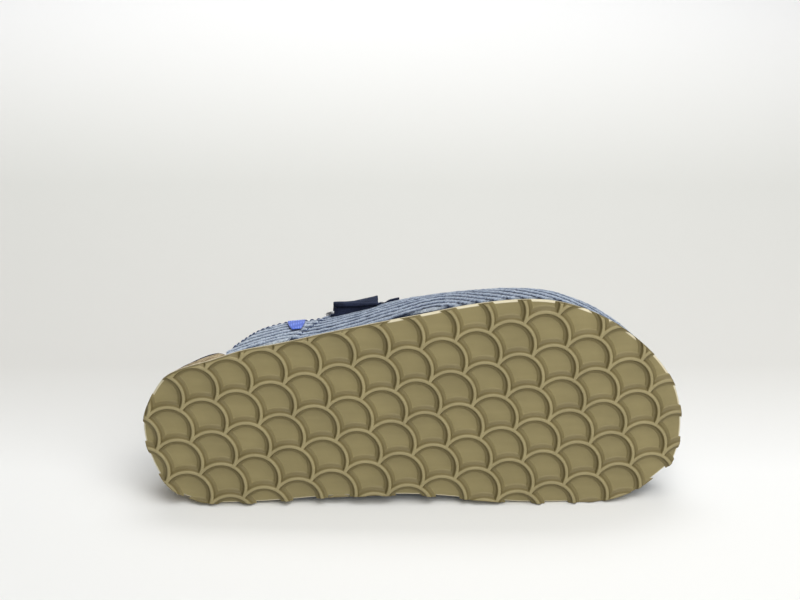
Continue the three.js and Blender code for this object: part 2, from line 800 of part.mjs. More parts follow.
// Each piece: its name, colour, surface and density in grams per cubic centimetre.
const pieces = [
  { name: "outsole", make: makeOutsole, color: 0x958863, roughness: 0.62, metalness: 0, density: 0.25 },
  { name: "cork_core", make: makeCork, color: 0xb08a5c, roughness: 0.9, metalness: 0, density: 0.3 },
  { name: "footbed_liner", make: makeLiner, color: 0x2a3040, roughness: 0.95, metalness: 0, density: 0.6 },
  { name: "upper", make: makeUpper, color: 0x6f809c, roughness: 0.95, metalness: 0, density: 0.55 },
  { name: "instep_strap", make: makeStrap, color: 0x232a3c, roughness: 0.95, metalness: 0, density: 0.7 },
  { name: "buckle_tab", make: makeTab, color: 0x262e42, roughness: 0.95, metalness: 0, density: 0.7 },
  { name: "buckle_frame", make: makeBuckle, color: 0x9a9da3, roughness: 0.3, metalness: 1, density: 7.8 },
  { name: "buckle_pin", make: makePin, color: 0x9a9da3, roughness: 0.3, metalness: 1, density: 7.8 },
  { name: "side_tag", make: makeTag, color: 0x5b7be0, roughness: 0.85, metalness: 0, density: 0.6 },
];

const shoe = new THREE.Group();
const balance = new THREE.Vector3();
const outerPoints = [];
let totalWeight = 0;

for (const piece of pieces) {
  const geometry = piece.make();
  const { color, roughness, metalness } = piece;
  const mesh = new THREE.Mesh(geometry, new THREE.MeshStandardMaterial({ color, roughness, metalness }));
  mesh.name = piece.name;
  shoe.add(mesh);
  const position = geometry.attributes.position;
  const index = geometry.index.array;
  for (let i = 0; i < index.length; i += 3) {
    const [a, b, c] = [0, 1, 2].map((k) => new THREE.Vector3().fromBufferAttribute(position, index[i + k]));
    const weight = (a.dot(b.clone().cross(c)) / 6) * piece.density;
    totalWeight += weight;
    balance.addScaledVector(a.clone().add(b).add(c), weight / 4);
  }
  for (let i = 0; i < position.count; i += 1) {
    outerPoints.push(new THREE.Vector3().fromBufferAttribute(position, i));
  }
}
balance.divideScalar(totalWeight);

// The face of the hull that the shoe rests on when it lies on its medial side.
function restingNormal() {
  const hull = new ConvexHull().setFromPoints(outerPoints);
  let best = null;
  for (const face of hull.faces) {
    const corners = [];
    let edge = face.edge;
    do {
      corners.push(edge.head().point);
      edge = edge.next;
    } while (edge !== face.edge);
    const drop = face.normal.dot(corners[0].clone().sub(balance));
    const foot = balance.clone().addScaledVector(face.normal, drop);
    const inside = corners.every((corner, k) => {
      const side = corners[(k + 1) % corners.length].clone().sub(corner);
      return side.cross(foot.clone().sub(corner)).dot(face.normal) > -1e-6;
    });
    if (inside && (best === null || face.normal.y > best.y)) best = face.normal;
  }
  return best;
}

const down = restingNormal();
const laid = new THREE.Quaternion().setFromUnitVectors(down, new THREE.Vector3(0, 0, -1));
const heading = new THREE.Vector3(1, 0, 0).applyQuaternion(laid);
const spin = new THREE.Quaternion().setFromAxisAngle(
  new THREE.Vector3(0, 0, 1),
  -Math.atan2(heading.y, heading.x),
);
shoe.quaternion.copy(spin.multiply(laid));
const box = new THREE.Box3().setFromPoints(
  outerPoints.map((point) => point.clone().applyQuaternion(shoe.quaternion)),
);
const centre = box.getCenter(new THREE.Vector3());
shoe.position.set(-centre.x, -centre.y, -box.min.z);

const clog = new THREE.Group();
clog.add(shoe);

export default clog;
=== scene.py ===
import json
import math

import bpy
import numpy as np
from mathutils import Matrix, Vector, noise


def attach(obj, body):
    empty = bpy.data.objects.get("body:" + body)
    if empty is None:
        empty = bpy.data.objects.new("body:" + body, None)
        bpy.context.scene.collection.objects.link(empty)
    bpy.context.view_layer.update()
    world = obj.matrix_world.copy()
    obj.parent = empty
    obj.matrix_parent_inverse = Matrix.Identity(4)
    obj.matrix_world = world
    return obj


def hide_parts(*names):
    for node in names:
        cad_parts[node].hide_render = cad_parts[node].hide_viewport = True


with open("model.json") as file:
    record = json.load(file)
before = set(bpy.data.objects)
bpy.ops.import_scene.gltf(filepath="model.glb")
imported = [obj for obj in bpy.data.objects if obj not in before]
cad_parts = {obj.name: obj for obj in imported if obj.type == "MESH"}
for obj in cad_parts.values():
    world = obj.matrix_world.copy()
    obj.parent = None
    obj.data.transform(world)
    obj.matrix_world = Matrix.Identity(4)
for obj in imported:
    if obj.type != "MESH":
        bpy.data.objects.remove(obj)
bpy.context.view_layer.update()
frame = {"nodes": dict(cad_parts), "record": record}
bpy.ops.object.select_all(action="DESELECT")
noise.seed_set(7)  # without a seed the suede would differ from run to run

mm = 0.001
lateral, medial = -1, 1

# How the shoe lies: the tread plane of the frame gives its tilt, the heading its turn on the floor.
pose = {
    "treadPoint": (80.08, -31.7, 0),  # the mount's point in the shoe's own millimetres
    "headingDrop": 0.0046808,          # how far the toe points down
}
mount = frame["record"]["mounts"][0]
upAxis = -Vector(mount["axis"]).normalized()
heading = Vector((1, 0, -pose["headingDrop"])).normalized()
heading = (heading - upAxis * heading.dot(upAxis)).normalized()
medialAxis = upAxis.cross(heading)
turn = Matrix((heading, medialAxis, upAxis)).transposed()
start = Vector(mount["pos_m"]) - turn @ (Vector(pose["treadPoint"]) * mm)
toRow = Matrix.Translation(start) @ turn.to_4x4() @ Matrix.Scale(mm, 4)
print("shoe pose", start)


def mix(a, b, t):
    return a + (b - a) * t


def smoothStep(a, b, v):
    t = np.clip((v - a) / (b - a), 0, 1)
    return t * t * (3 - 2 * t)


# The last: the same sizes and sections as the shoe's solids, in millimetres and shares.
last = {
    "length": 272, "ballWidth": 107.5, "soleThickness": 6.6,
    "toeSpring": 9, "toeSpringStart": 0.7, "heelRoll": 1.6, "heelRollEnd": 0.13,
    "heelTipAcross": 0.388, "toeTipAcross": 0.361, "wall": 2.5, "clearance": 0.35, "corkClearance": 0.6,
    "instepHeight": 77, "rearShare": 0.152, "cornerShare": 0.37, "throatShare": 0.455,
    "noseShare": 0.8, "nosePower": 3, "archPower": 3.4, "ridgeLean": 0.47,
    "outline": [  # at, lateral edge and medial edge as shares of the ball width
        (0.007, 0.472, 0.27), (0.037, 0.608, 0.105), (0.067, 0.655, 0.042), (0.126, 0.702, 0),
        (0.185, 0.751, 0), (0.244, 0.78, 0.008), (0.333, 0.833, 0.028), (0.422, 0.881, 0.038),
        (0.511, 0.927, 0.038), (0.6, 0.973, 0.021), (0.689, 0.998, 0.003), (0.748, 0.992, 0),
        (0.807, 0.952, 0.003), (0.867, 0.876, 0.013), (0.926, 0.757, 0.066), (0.963, 0.652, 0.132),
        (0.989, 0.53, 0.195),
    ],
    "upper": [  # at, ridge height, lateral inset and medial inset in walls
        (0.1, 1, 0.45, 0.56), (0.17, 1, 0.35, 0.56), (0.25, 1, -0.1, 0.56), (0.33, 0.987, 0.9, 0.56),
        (0.39, 0.965, 0.75, 0.56), (0.45, 0.93, 0.05, 0.52), (0.51, 0.89, -0.3, 0.48),
        (0.62, 0.8, 0.04, 0.48), (0.74, 0.682, 0.08, 0.48), (0.84, 0.597, 0.36, 0.48),
        (0.93, 0.545, 0.68, 0.48), (1, 0.494, 0.6, 0.56),
    ],
    "topline": [  # at, height on the lateral and on the medial side, in instep heights
        (0.152, 0.182, 0.195), (0.165, 0.258, 0.272), (0.185, 0.37, 0.383), (0.21, 0.5, 0.513),
        (0.24, 0.585, 0.597), (0.275, 0.61, 0.623), (0.31, 0.623, 0.636), (0.34, 0.669, 0.682),
        (0.37, 0.766, 0.779),
    ],
}
length = last["length"]


# A smooth curve through one column of a table.
def columnOf(rows, column):
    at = np.array([row[0] for row in rows], float)
    value = np.array([row[column] for row in rows], float)
    before = np.maximum(np.arange(len(at)) - 1, 0)
    after = np.minimum(np.arange(len(at)) + 1, len(at) - 1)
    slope = (value[after] - value[before]) / (at[after] - at[before])

    def curve(share):
        held = np.clip(share, at[0], at[-1])
        i = np.clip(np.searchsorted(at, held) - 1, 0, len(at) - 2)
        span = at[i + 1] - at[i]
        t = (held - at[i]) / span
        bend = t * (1 - t)
        climb = value[i + 1] - value[i]
        leave = (slope[i] * span - climb) * bend * (1 - t)
        arrive = (climb - slope[i + 1] * span) * bend * t
        return mix(value[i], value[i + 1], t) + leave + arrive
    return curve


def sides(rows):
    curves = {lateral: columnOf(rows, len(rows[0]) - 2), medial: columnOf(rows, len(rows[0]) - 1)}
    return lambda share, side: curves[side](share)


# How far the sole lifts at the toe and at the back of the heel.
def rise(x):
    toe = np.maximum(x / length - last["toeSpringStart"], 0) / (1 - last["toeSpringStart"])
    heel = np.maximum(last["heelRollEnd"] - x / length, 0) / last["heelRollEnd"]
    return last["toeSpring"] * toe ** 2 + last["heelRoll"] * heel ** 2


# The sole's outline as evenly spaced points, from the heel tip over the lateral side.
def outlinePoints(count=720, steps=40):
    rows = last["outline"]
    knots = [(0, -last["heelTipAcross"])] + [(a, -b) for a, b, _ in rows]
    knots += [(1, -last["toeTipAcross"])] + [(a, -c) for a, _, c in reversed(rows)]
    knots = np.array(knots, float) * (length, last["ballWidth"])
    fine = []
    for i in range(len(knots)):
        p0, p1, p2, p3 = (knots[(i + k) % len(knots)] for k in (-1, 0, 1, 2))
        d0, d1, d2 = (math.sqrt(np.linalg.norm(b - a)) for a, b in ((p0, p1), (p1, p2), (p2, p3)))
        leave = ((p1 - p0) / d0 - (p2 - p0) / (d0 + d1) + (p2 - p1) / d1) * d1
        arrive = ((p2 - p1) / d1 - (p3 - p1) / (d1 + d2) + (p3 - p2) / d2) * d1
        for t in np.arange(steps) / steps:
            fine.append((2 * t**3 - 3 * t**2 + 1) * p1 + (t**3 - 2 * t**2 + t) * leave
                        + (3 * t**2 - 2 * t**3) * p2 + (t**3 - t**2) * arrive)
    fine = np.array(fine + [fine[0]])
    run = np.concatenate([[0], np.cumsum(np.linalg.norm(np.diff(fine, axis=0), axis=1))])
    even = np.linspace(0, run[-1], count + 1)[:-1]
    return np.stack([np.interp(even, run, fine[:, k]) for k in (0, 1)], axis=1)


outline = outlinePoints()
toeStep = int(np.argmax(outline[:, 0]))
inwards = np.roll(outline, 1, axis=0) - np.roll(outline, -1, axis=0)
inwards = np.stack([inwards[:, 1], -inwards[:, 0]], axis=1)
inwards /= np.linalg.norm(inwards, axis=1)[:, None]
outlineSide = np.where(np.arange(len(outline)) <= toeStep, lateral, medial)


# The outline moved inwards by inset(share, side).
def ring(inset):
    share = outline[:, 0] / length
    step = np.where(outlineSide == lateral, inset(share, lateral), inset(share, medial))
    return outline + inwards * step[:, None]


# The two edges of a ring as functions of x.
def ringEdges(inset):
    points = ring(inset)
    heel, toe = int(np.argmin(points[:, 0])), int(np.argmax(points[:, 0]))
    chains = {}
    for side, step in ((lateral, 1), (medial, -1)):
        chain, i = [points[heel]], heel
        while i != toe:
            i = (i + step) % len(points)
            if points[i][0] > chain[-1][0]:
                chain.append(points[i])
        chains[side] = np.array(chain)

    def edge(x, side):
        return np.interp(x, chains[side][:, 0], chains[side][:, 1])
    return edge, points[heel], points[toe]


upperInsetInWalls = sides(last["upper"])
ridgeShare = columnOf(last["upper"], 1)
toplineShare = sides(last["topline"])
upperSeat = last["soleThickness"] + last["clearance"]


def upperInset(share, side):
    return upperInsetInWalls(share, side) * last["wall"]


def toplineHeight(share, side):
    return toplineShare(share, side) * last["instepHeight"]


baseEdge = ringEdges(upperInset)[0]
shrunkEdges = {}


def archSize(x, side, shrink):
    if shrink not in shrunkEdges:
        shrunkEdges[shrink] = ringEdges(lambda share, s: upperInset(share, s) + shrink)
    edge, _, toe = shrunkEdges[shrink]
    held = np.minimum(x, toe[0])
    noseStart = last["noseShare"] * length
    toNose = np.clip((held - noseStart) / (toe[0] - noseStart), 0, 1)
    nose = (1 - toNose ** last["nosePower"]) ** (1 / last["nosePower"])
    seat = upperSeat + rise(held)
    centre = mix(baseEdge(held, medial), baseEdge(held, lateral), last["ridgeLean"])
    middle = mix(centre, toe[1], toNose ** last["nosePower"])
    half = np.maximum(edge(held, side) * side - middle * side, 0) * np.sign(nose)
    height = (ridgeShare(held / length) * last["instepHeight"] - seat - shrink) * nose
    return held, middle, half, seat, height


# A point of the upper's outer face moved inwards by shrink: share 0 at its seat, 1 on the ridge.
def upperPoint(x, side, share, shrink):
    held, middle, half, seat, height = archSize(x, side, shrink)
    angle = np.minimum(share, 1) * math.pi / 2
    power = 2 / last["archPower"]
    out = np.maximum(np.cos(angle), 0) ** power
    y, z = middle + side * half * out, seat + height * np.sin(angle) ** power
    return np.stack(np.broadcast_arrays(held, y, z), -1)


def shareAtHeight(x, side, height, shrink):
    _, _, _, seat, full = archSize(x, side, shrink)
    up = np.clip((height - seat) / full, 0, 1)
    return np.arcsin(up ** (last["archPower"] / 2)) * 2 / math.pi


def srgb(code):
    parts = [int(code[i:i + 2], 16) / 255 for i in (0, 2, 4)]
    return tuple(p / 12.92 if p <= 0.04045 else ((p + 0.055) / 1.055) ** 2.4 for p in parts) + (1,)


def setInputs(tree, shader, inputs):
    for name, value in inputs.items():
        if isinstance(value, bpy.types.NodeSocket):
            tree.links.new(value, shader.inputs[name])
        else:
            shader.inputs[name].default_value = value


# Adds a node, sets its values and inputs, links what is given as a socket, fills a colour band's stops.
def add(tree, kind, inputs=(), stops=(), **settings):
    new = tree.nodes.new(kind)
    for name, value in settings.items():
        setattr(new, name, value)
    setInputs(tree, new, dict(inputs))
    band = new.color_ramp.elements if stops else ()
    while len(band) < len(stops):
        band.new(1)
    for element, (at, code) in zip(band, stops):
        element.position, element.color = at, srgb(code)
    return new


def newMaterial(name):
    material = bpy.data.materials.new(name)
    material.use_nodes = True
    tree = material.node_tree
    return material, tree, tree.nodes["Principled BSDF"]


# Makes an object from faces in the shoe's millimetres, with float attributes on its points.
def meshObject(name, points, faces, attributes=(), surfaces=None):
    mesh = bpy.data.meshes.new(name)
    mesh.from_pydata([tuple(map(float, p)) for p in points], [], faces)
    for key, values in dict(attributes).items():
        layer = mesh.attributes.new(key, "FLOAT", "POINT")
        layer.data.foreach_set("value", np.asarray(values, np.float32).ravel())
    if surfaces is not None:
        mesh.polygons.foreach_set("material_index", surfaces)
    mesh.update()
    made = bpy.data.objects.new(name, mesh)
    bpy.context.collection.objects.link(made)
    return made


def activate(*objects):
    bpy.ops.object.select_all(action="DESELECT")
    for item in objects:
        item.select_set(True)
    bpy.context.view_layer.objects.active = objects[0]


def applyModifiers(item):
    activate(item)
    for modifier in list(item.modifiers):
        bpy.ops.object.modifier_apply(modifier=modifier.name)


def editMesh(item, *steps):
    activate(item)
    bpy.ops.object.mode_set(mode="EDIT")
    bpy.ops.mesh.select_all(action="SELECT")
    for step in steps:
        step()
    bpy.ops.object.mode_set(mode="OBJECT")


def mergeAndTurnOut(distance):
    bpy.ops.mesh.remove_doubles(threshold=distance)
    bpy.ops.mesh.normals_make_consistent(inside=False)


# Puts a finished piece into the row frame, gives it its surface and lets it ride on the shoe.
def finishPiece(item, material, replaced=(), smooth=40):
    item.data.transform(toRow)
    surfaces = [face.material_index for face in item.data.polygons]
    item.data.materials.clear()
    for surface in material if isinstance(material, list) else [material]:
        item.data.materials.append(surface)
    if isinstance(material, list):
        item.data.polygons.foreach_set("material_index", surfaces)
    activate(item)
    bpy.ops.object.shade_smooth_by_angle(angle=math.radians(smooth))
    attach(item, "root")
    if replaced:
        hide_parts(*replaced)
    return item


def gridFaces(rows, columns, offset=0):
    faces = []
    for i in range(rows - 1):
        for c in range(columns - 1):
            a = offset + i * columns + c
            faces.append((a, a + columns, a + columns + 1, a + 1))
    return faces


# Foamed EVA, moulded in a steel mould: matt with a soft gloss, fine mottling, its colour set by the
# height in the tread.
def makeEvaMaterial():
    material, tree, shader = newMaterial("moulded_eva")
    place = add(tree, "ShaderNodeTexCoord").outputs["Object"]
    depth = add(tree, "ShaderNodeAttribute", attribute_name="treadHeight").outputs["Fac"]
    # 18 mm patches
    cloud = add(tree, "ShaderNodeTexNoise", {"Vector": place, "Scale": 55, "Detail": 4})
    grain = add(tree, "ShaderNodeTexNoise", {"Vector": place, "Scale": 900, "Detail": 3})  # 1 mm grain
    stretched = add(tree, "ShaderNodeMapping", {"Vector": place, "Scale": (40, 200, 260)})
    flow = add(tree, "ShaderNodeTexNoise", {"Vector": stretched.outputs[0], "Scale": 1, "Detail": 3})
    height = add(tree, "ShaderNodeMapRange", {"Value": depth, "From Min": 0, "From Max": 6.6})
    # Colour by height: rib tops a little lighter, pocket walls darker with painted shade in the
    # recesses, pans between, and the side above much paler, partly a paler rim and partly painted light
    # from above.
    treadLightAndShade = add(tree, "ShaderNodeValToRGB", {"Fac": height.outputs[0]}, stops=[
        (0, "998d66"), (0.03, "93875f"), (0.12, "786c47"), (0.3, "746843"), (0.4, "83774f"),
        (0.437, "8f835a"), (0.445, "8f835a"), (0.47, "d8ceb0"), (0.8, "dad0b4"),
        (1, "c9bd9a")]).outputs["Color"]
    patch = add(tree, "ShaderNodeValToRGB", {"Fac": cloud.outputs["Fac"]}, stops=[
        (0.3, "8f8f8f"), (0.7, "ffffff")]).outputs["Color"]
    tint = add(tree, "ShaderNodeMix", {"Factor": 0.16, "A": treadLightAndShade, "B": patch}, data_type="RGBA",
               blend_type="MULTIPLY")
    streak = add(tree, "ShaderNodeValToRGB", {"Fac": flow.outputs["Fac"]}, stops=[
        (0.35, "b0a890"), (0.65, "ffffff")]).outputs["Color"]
    shade = add(tree, "ShaderNodeMix", {"Factor": 0.12, "A": tint.outputs["Result"], "B": streak},
                data_type="RGBA", blend_type="MULTIPLY")
    bump = add(tree, "ShaderNodeBump",
               {"Height": grain.outputs["Fac"], "Distance": 0.00012, "Strength": 0.5})
    rough = add(tree, "ShaderNodeMapRange",
                {"Value": cloud.outputs["Fac"], "To Min": 0.5, "To Max": 0.66})
    setInputs(tree, shader, {"Base Color": shade.outputs["Result"], "Roughness": rough.outputs[0],
                             "Normal": bump.outputs[0], "IOR": 1.48, "Specular IOR Level": 0.42})
    return material


# Agglomerated cork: pressed granules of 2 to 4 mm with dark bark specks and open pores.
def makeCorkMaterial():
    material, tree, shader = newMaterial("pressed_cork")
    place = add(tree, "ShaderNodeTexCoord").outputs["Object"]
    wobble = add(tree, "ShaderNodeTexNoise", {"Vector": place, "Scale": 300, "Detail": 2})
    bent = add(tree, "ShaderNodeMix", {"Factor": 0.0022, "A": place, "B": wobble.outputs["Color"]},
               data_type="VECTOR")
    # 2 mm granules
    cells = add(tree, "ShaderNodeTexVoronoi", {"Vector": bent.outputs[1], "Scale": 460})
    edges = add(tree, "ShaderNodeTexVoronoi", {"Vector": bent.outputs[1], "Scale": 460},
                feature="DISTANCE_TO_EDGE")
    specks = add(tree, "ShaderNodeTexNoise", {"Vector": place, "Scale": 620, "Detail": 3})
    value = add(tree, "ShaderNodeSeparateColor", {"Color": cells.outputs["Color"]})
    granule = add(tree, "ShaderNodeValToRGB", {"Fac": value.outputs[0]}, stops=[
        (0, "8d7d62"), (0.35, "ad9c7e"), (0.7, "c6b696"), (1, "a08e6c")]).outputs["Color"]
    seam = add(tree, "ShaderNodeValToRGB", {"Fac": edges.outputs["Distance"]}, stops=[
        (0, "7a5c3c"), (0.12, "ffffff")]).outputs["Color"]
    joined = add(tree, "ShaderNodeMix", {"Factor": 0.55, "A": granule, "B": seam}, data_type="RGBA",
                 blend_type="MULTIPLY")
    bark = add(tree, "ShaderNodeValToRGB", {"Fac": specks.outputs["Fac"]}, stops=[
        (0.62, "000000"), (0.68, "ffffff")]).outputs["Color"]
    dark = add(tree, "ShaderNodeMix",
               {"Factor": bark, "A": joined.outputs["Result"], "B": srgb("4c3522")}, data_type="RGBA")
    dip = add(tree, "ShaderNodeMath", {0: edges.outputs["Distance"], 1: specks.outputs["Fac"]},
              operation="MULTIPLY")
    bump = add(tree, "ShaderNodeBump", {"Height": dip.outputs[0], "Distance": 0.0006, "Strength": 0.6})
    setInputs(tree, shader,
              {"Base Color": dark.outputs["Result"], "Roughness": 0.86, "Normal": bump.outputs[0],
                             "IOR": 1.4, "Specular IOR Level": 0.25})
    return material


# Suede split leather: sanded nap, blotched where it lies in different directions, no gloss.
def makeSuedeMaterial(name, deep, light):
    material, tree, shader = newMaterial(name)
    place = add(tree, "ShaderNodeTexCoord").outputs["Object"]
    patch = add(tree, "ShaderNodeTexNoise",
                {"Vector": place, "Scale": 160, "Detail": 5, "Roughness": 0.65})
    # 0.7 mm tufts
    nap = add(tree, "ShaderNodeTexNoise",
              {"Vector": place, "Scale": 1500, "Detail": 4, "Roughness": 0.7})
    blend = add(tree, "ShaderNodeMath", {0: patch.outputs["Fac"], 1: nap.outputs["Fac"]},
                operation="MULTIPLY")
    colour = add(tree, "ShaderNodeValToRGB", {"Fac": blend.outputs[0]},
                 stops=[(0.14, deep), (0.42, light)]).outputs["Color"]
    bump = add(tree, "ShaderNodeBump",
               {"Height": nap.outputs["Fac"], "Distance": 0.0004, "Strength": 0.8})
    setInputs(tree, shader,
              {"Base Color": colour, "Roughness": 0.96, "Normal": bump.outputs[0], "Sheen Weight": 0.25,
                             "Sheen Roughness": 0.5, "Sheen Tint": srgb("8d9bc0"),
                             "Specular IOR Level": 0.15})
    return material


# Wide-wale corduroy: brushed cotton pile in rounded wales, the grooves between them dark with painted
# shade.
def makeCorduroyMaterial():
    material, tree, shader = newMaterial("woven_corduroy")
    across = add(tree, "ShaderNodeAttribute", attribute_name="waleAcross").outputs["Fac"]
    along = add(tree, "ShaderNodeAttribute", attribute_name="waleAlong").outputs["Fac"]
    place = add(tree, "ShaderNodeTexCoord").outputs["Object"]
    part = add(tree, "ShaderNodeMath", {0: across}, operation="FRACT")
    centred = add(tree, "ShaderNodeMath", {0: part.outputs[0], 1: 0.5}, operation="SUBTRACT")
    # 0 crest, 0.5 groove
    away = add(tree, "ShaderNodeMath", {0: centred.outputs[0]}, operation="ABSOLUTE")
    tuftPlace = add(tree, "ShaderNodeCombineXYZ", {"X": across, "Y": along})
    tuftScale = add(tree, "ShaderNodeMapping", {"Vector": tuftPlace.outputs[0], "Scale": (3.2, 1.1, 1)})
    tuft = add(tree, "ShaderNodeTexNoise",
               {"Vector": tuftScale.outputs[0], "Scale": 1, "Detail": 4, "Roughness": 0.7})
    # 0.9 mm
    fuzz = add(tree, "ShaderNodeTexNoise",
               {"Vector": place, "Scale": 1100, "Detail": 4, "Roughness": 0.75})
    patch = add(tree, "ShaderNodeTexNoise", {"Vector": place, "Scale": 70, "Detail": 3})
    vamp = add(tree, "ShaderNodeAttribute", attribute_name="onVamp").outputs["Fac"]
    ragged = add(tree, "ShaderNodeMath", {0: tuft.outputs["Fac"], 1: 0.3, 2: away.outputs[0]},
                 operation="MULTIPLY_ADD")
    # Painted shade: on the vamp the wales shift a little towards the groove colours.
    ragged = add(tree, "ShaderNodeMath", {0: vamp, 1: 0.04, 2: ragged.outputs[0]},
                 operation="MULTIPLY_ADD")
    # Painted highlight on the crests and painted shade near black in the grooves, over the real rounded
    # wales of the mesh.
    wale = add(tree, "ShaderNodeValToRGB", {"Fac": ragged.outputs[0]}, stops=[
        (0.18, "d6dfe9"), (0.4, "adb8c6"), (0.52, "626d80"), (0.61, "222a3a")]).outputs["Color"]
    speckle = add(tree, "ShaderNodeValToRGB", {"Fac": fuzz.outputs["Fac"]}, stops=[
        (0.38, "5f697c"), (0.58, "ffffff")]).outputs["Color"]
    mottled = add(tree, "ShaderNodeMix", {"Factor": 0.6, "A": wale, "B": speckle}, data_type="RGBA",
                  blend_type="MULTIPLY")
    worn = add(tree, "ShaderNodeValToRGB", {"Fac": patch.outputs["Fac"]}, stops=[
        (0.35, "bcc4d2"), (0.7, "ffffff")]).outputs["Color"]
    mixed = add(tree, "ShaderNodeMix", {"Factor": 0.35, "A": mottled.outputs["Result"], "B": worn},
                data_type="RGBA", blend_type="MULTIPLY")
    vampShade = add(tree, "ShaderNodeValToRGB", {"Fac": vamp}, stops=[
        (0, "ffffff"), (1, "eceef2")]).outputs["Color"]  # painted shade: the vamp a little darker than the quarter
    colour = add(tree, "ShaderNodeMix", {"Factor": 1, "A": mixed.outputs["Result"], "B": vampShade},
                 data_type="RGBA", blend_type="MULTIPLY")
    lift = add(tree, "ShaderNodeMath", {0: tuft.outputs["Fac"], 1: fuzz.outputs["Fac"]},
               operation="ADD")
    bump = add(tree, "ShaderNodeBump", {"Height": lift.outputs[0], "Distance": 0.0006, "Strength": 0.7})
    setInputs(tree, shader,
              {"Base Color": colour.outputs["Result"], "Roughness": 0.97, "Normal": bump.outputs[0],
                             "Sheen Weight": 0.3, "Sheen Roughness": 0.45, "Sheen Tint": srgb("dde2ea"),
                             "Specular IOR Level": 0.12})
    return material


# Steel buckle, tumbled and nickel plated: soft reflections, fine polishing marks.
def makeMetalMaterial():
    material, tree, shader = newMaterial("tumbled_nickel_steel")
    place = add(tree, "ShaderNodeTexCoord").outputs["Object"]
    marks = add(tree, "ShaderNodeTexNoise", {"Vector": place, "Scale": 2200, "Detail": 2})
    patch = add(tree, "ShaderNodeTexNoise", {"Vector": place, "Scale": 260, "Detail": 3})
    rough = add(tree, "ShaderNodeMapRange",
                {"Value": patch.outputs["Fac"], "To Min": 0.24, "To Max": 0.42})
    bump = add(tree, "ShaderNodeBump",
               {"Height": marks.outputs["Fac"], "Distance": 0.00004, "Strength": 0.5})
    setInputs(tree, shader, {"Base Color": srgb("b4b5b8"), "Metallic": 1, "Roughness": rough.outputs[0],
                             "Normal": bump.outputs[0]})
    return material


# Woven polyester ribbon: flat satin yarns in a fine plain weave, here 0.6 mm apart to show.
def makeRibbonMaterial():
    material, tree, shader = newMaterial("woven_ribbon")
    place = add(tree, "ShaderNodeTexCoord").outputs["Object"]
    warp = add(tree, "ShaderNodeTexWave", {"Vector": place, "Scale": 260, "Distortion": 0.6},
               bands_direction="X")
    weft = add(tree, "ShaderNodeTexWave", {"Vector": place, "Scale": 260, "Distortion": 0.6},
               bands_direction="Z")
    woven = add(tree, "ShaderNodeMath", {0: warp.outputs["Fac"], 1: weft.outputs["Fac"]},
                operation="MULTIPLY")
    colour = add(tree, "ShaderNodeValToRGB", {"Fac": woven.outputs[0]}, stops=[
        (0, "4563c8"), (1, "7d9bf5")]).outputs["Color"]
    bump = add(tree, "ShaderNodeBump",
               {"Height": woven.outputs[0], "Distance": 0.0002, "Strength": 0.6})
    setInputs(tree, shader, {"Base Color": colour, "Roughness": 0.6, "Normal": bump.outputs[0],
                             "Sheen Weight": 0.2, "Specular IOR Level": 0.4})
    return material


eva = makeEvaMaterial()
cork = makeCorkMaterial()
suede = makeSuedeMaterial("brushed_suede", "0d101d", "282f46")
linerSuede = makeSuedeMaterial("liner_suede", "1c2234", "3d465c")
corduroy = makeCorduroyMaterial()
lining = makeSuedeMaterial("brushed_lining", "262c3d", "4a5368")
nickel = makeMetalMaterial()
ribbon = makeRibbonMaterial()
print("materials ready")

# Outsole: a slab from the outline, with one pocket for each scale of the tread cut out of it.
tread = {
    "scaleWidth": 24.8, "turn": 60, "topSegments": 22, "sideSegments": 8, "edgePoints": 300,
    "wall": [  # distance from the middle of the rib, depth below its top
        (0.34, -1), (0.42, -0.02), (0.6, 0.06), (0.78, 0.32), (0.96, 0.85), (1.22, 1.6), (1.5, 2.02),
        (1.84, 2.2), (2.4, 2.26), (2.62, 2.36), (2.86, 2.7), (3.1, 2.86), (3.36, 2.9),
    ],
    "side": [  # inset from the outline, height: the ribs stand proud of the rounded side above them
        (1.2, 0), (0.75, 0.12), (0.36, 0.6), (0.16, 1.25), (0.1, 2.6), (0.2, 2.78), (1.7, 2.93),
        (1.1, 3.1),
        (0.75, 3.4), (0.56, 3.85), (0.5, 4.4), (0.65, 5.6), (1.05, 6.4), (1.4, 6.6),
    ],
    "bendCuts": 9, "bendAfter": 8, "bendBefore": 4,
}


# The outline of one pocket of the tread, moved inwards from the middle of its ribs.
def pocketOutline(inset):
    radius = tread["scaleWidth"] / 2
    inner, outer = radius - inset, radius + inset
    gap = math.hypot(radius, radius)
    reach = (inner ** 2 - outer ** 2 + gap ** 2) / (2 * gap)
    first = math.pi - (math.pi * 1.25 - math.acos(reach / inner))
    cornerX, cornerY = inner * math.cos(first), inner * math.sin(first)
    sideAngle = math.atan2(cornerY + radius, radius - cornerX)
    footAngle = math.acos(radius / outer)
    points = []

    def arc(cx, cy, size, a, b, count):
        for k in range(count):
            angle = mix(a, b, k / count)
            points.append((cx + size * math.cos(angle), cy + size * math.sin(angle)))
    arc(0, 0, inner, first, math.pi - first, tread["topSegments"])
    arc(-radius, -radius, outer, sideAngle, footAngle, tread["sideSegments"])
    arc(radius, -radius, outer, math.pi - footAngle, math.pi - sideAngle, tread["sideSegments"])
    return np.array(points)


# Rings of equal length, stacked and capped at both ends.
def stackFaces(ringSize, levels, offset=0):
    faces = [tuple(offset + k for k in reversed(range(ringSize)))]
    for level in range(levels - 1):
        a = offset + level * ringSize
        for k in range(ringSize):
            n = (k + 1) % ringSize
            faces.append((a + k, a + n, a + ringSize + n, a + ringSize + k))
    faces.append(tuple(offset + (levels - 1) * ringSize + k for k in range(ringSize)))
    return faces


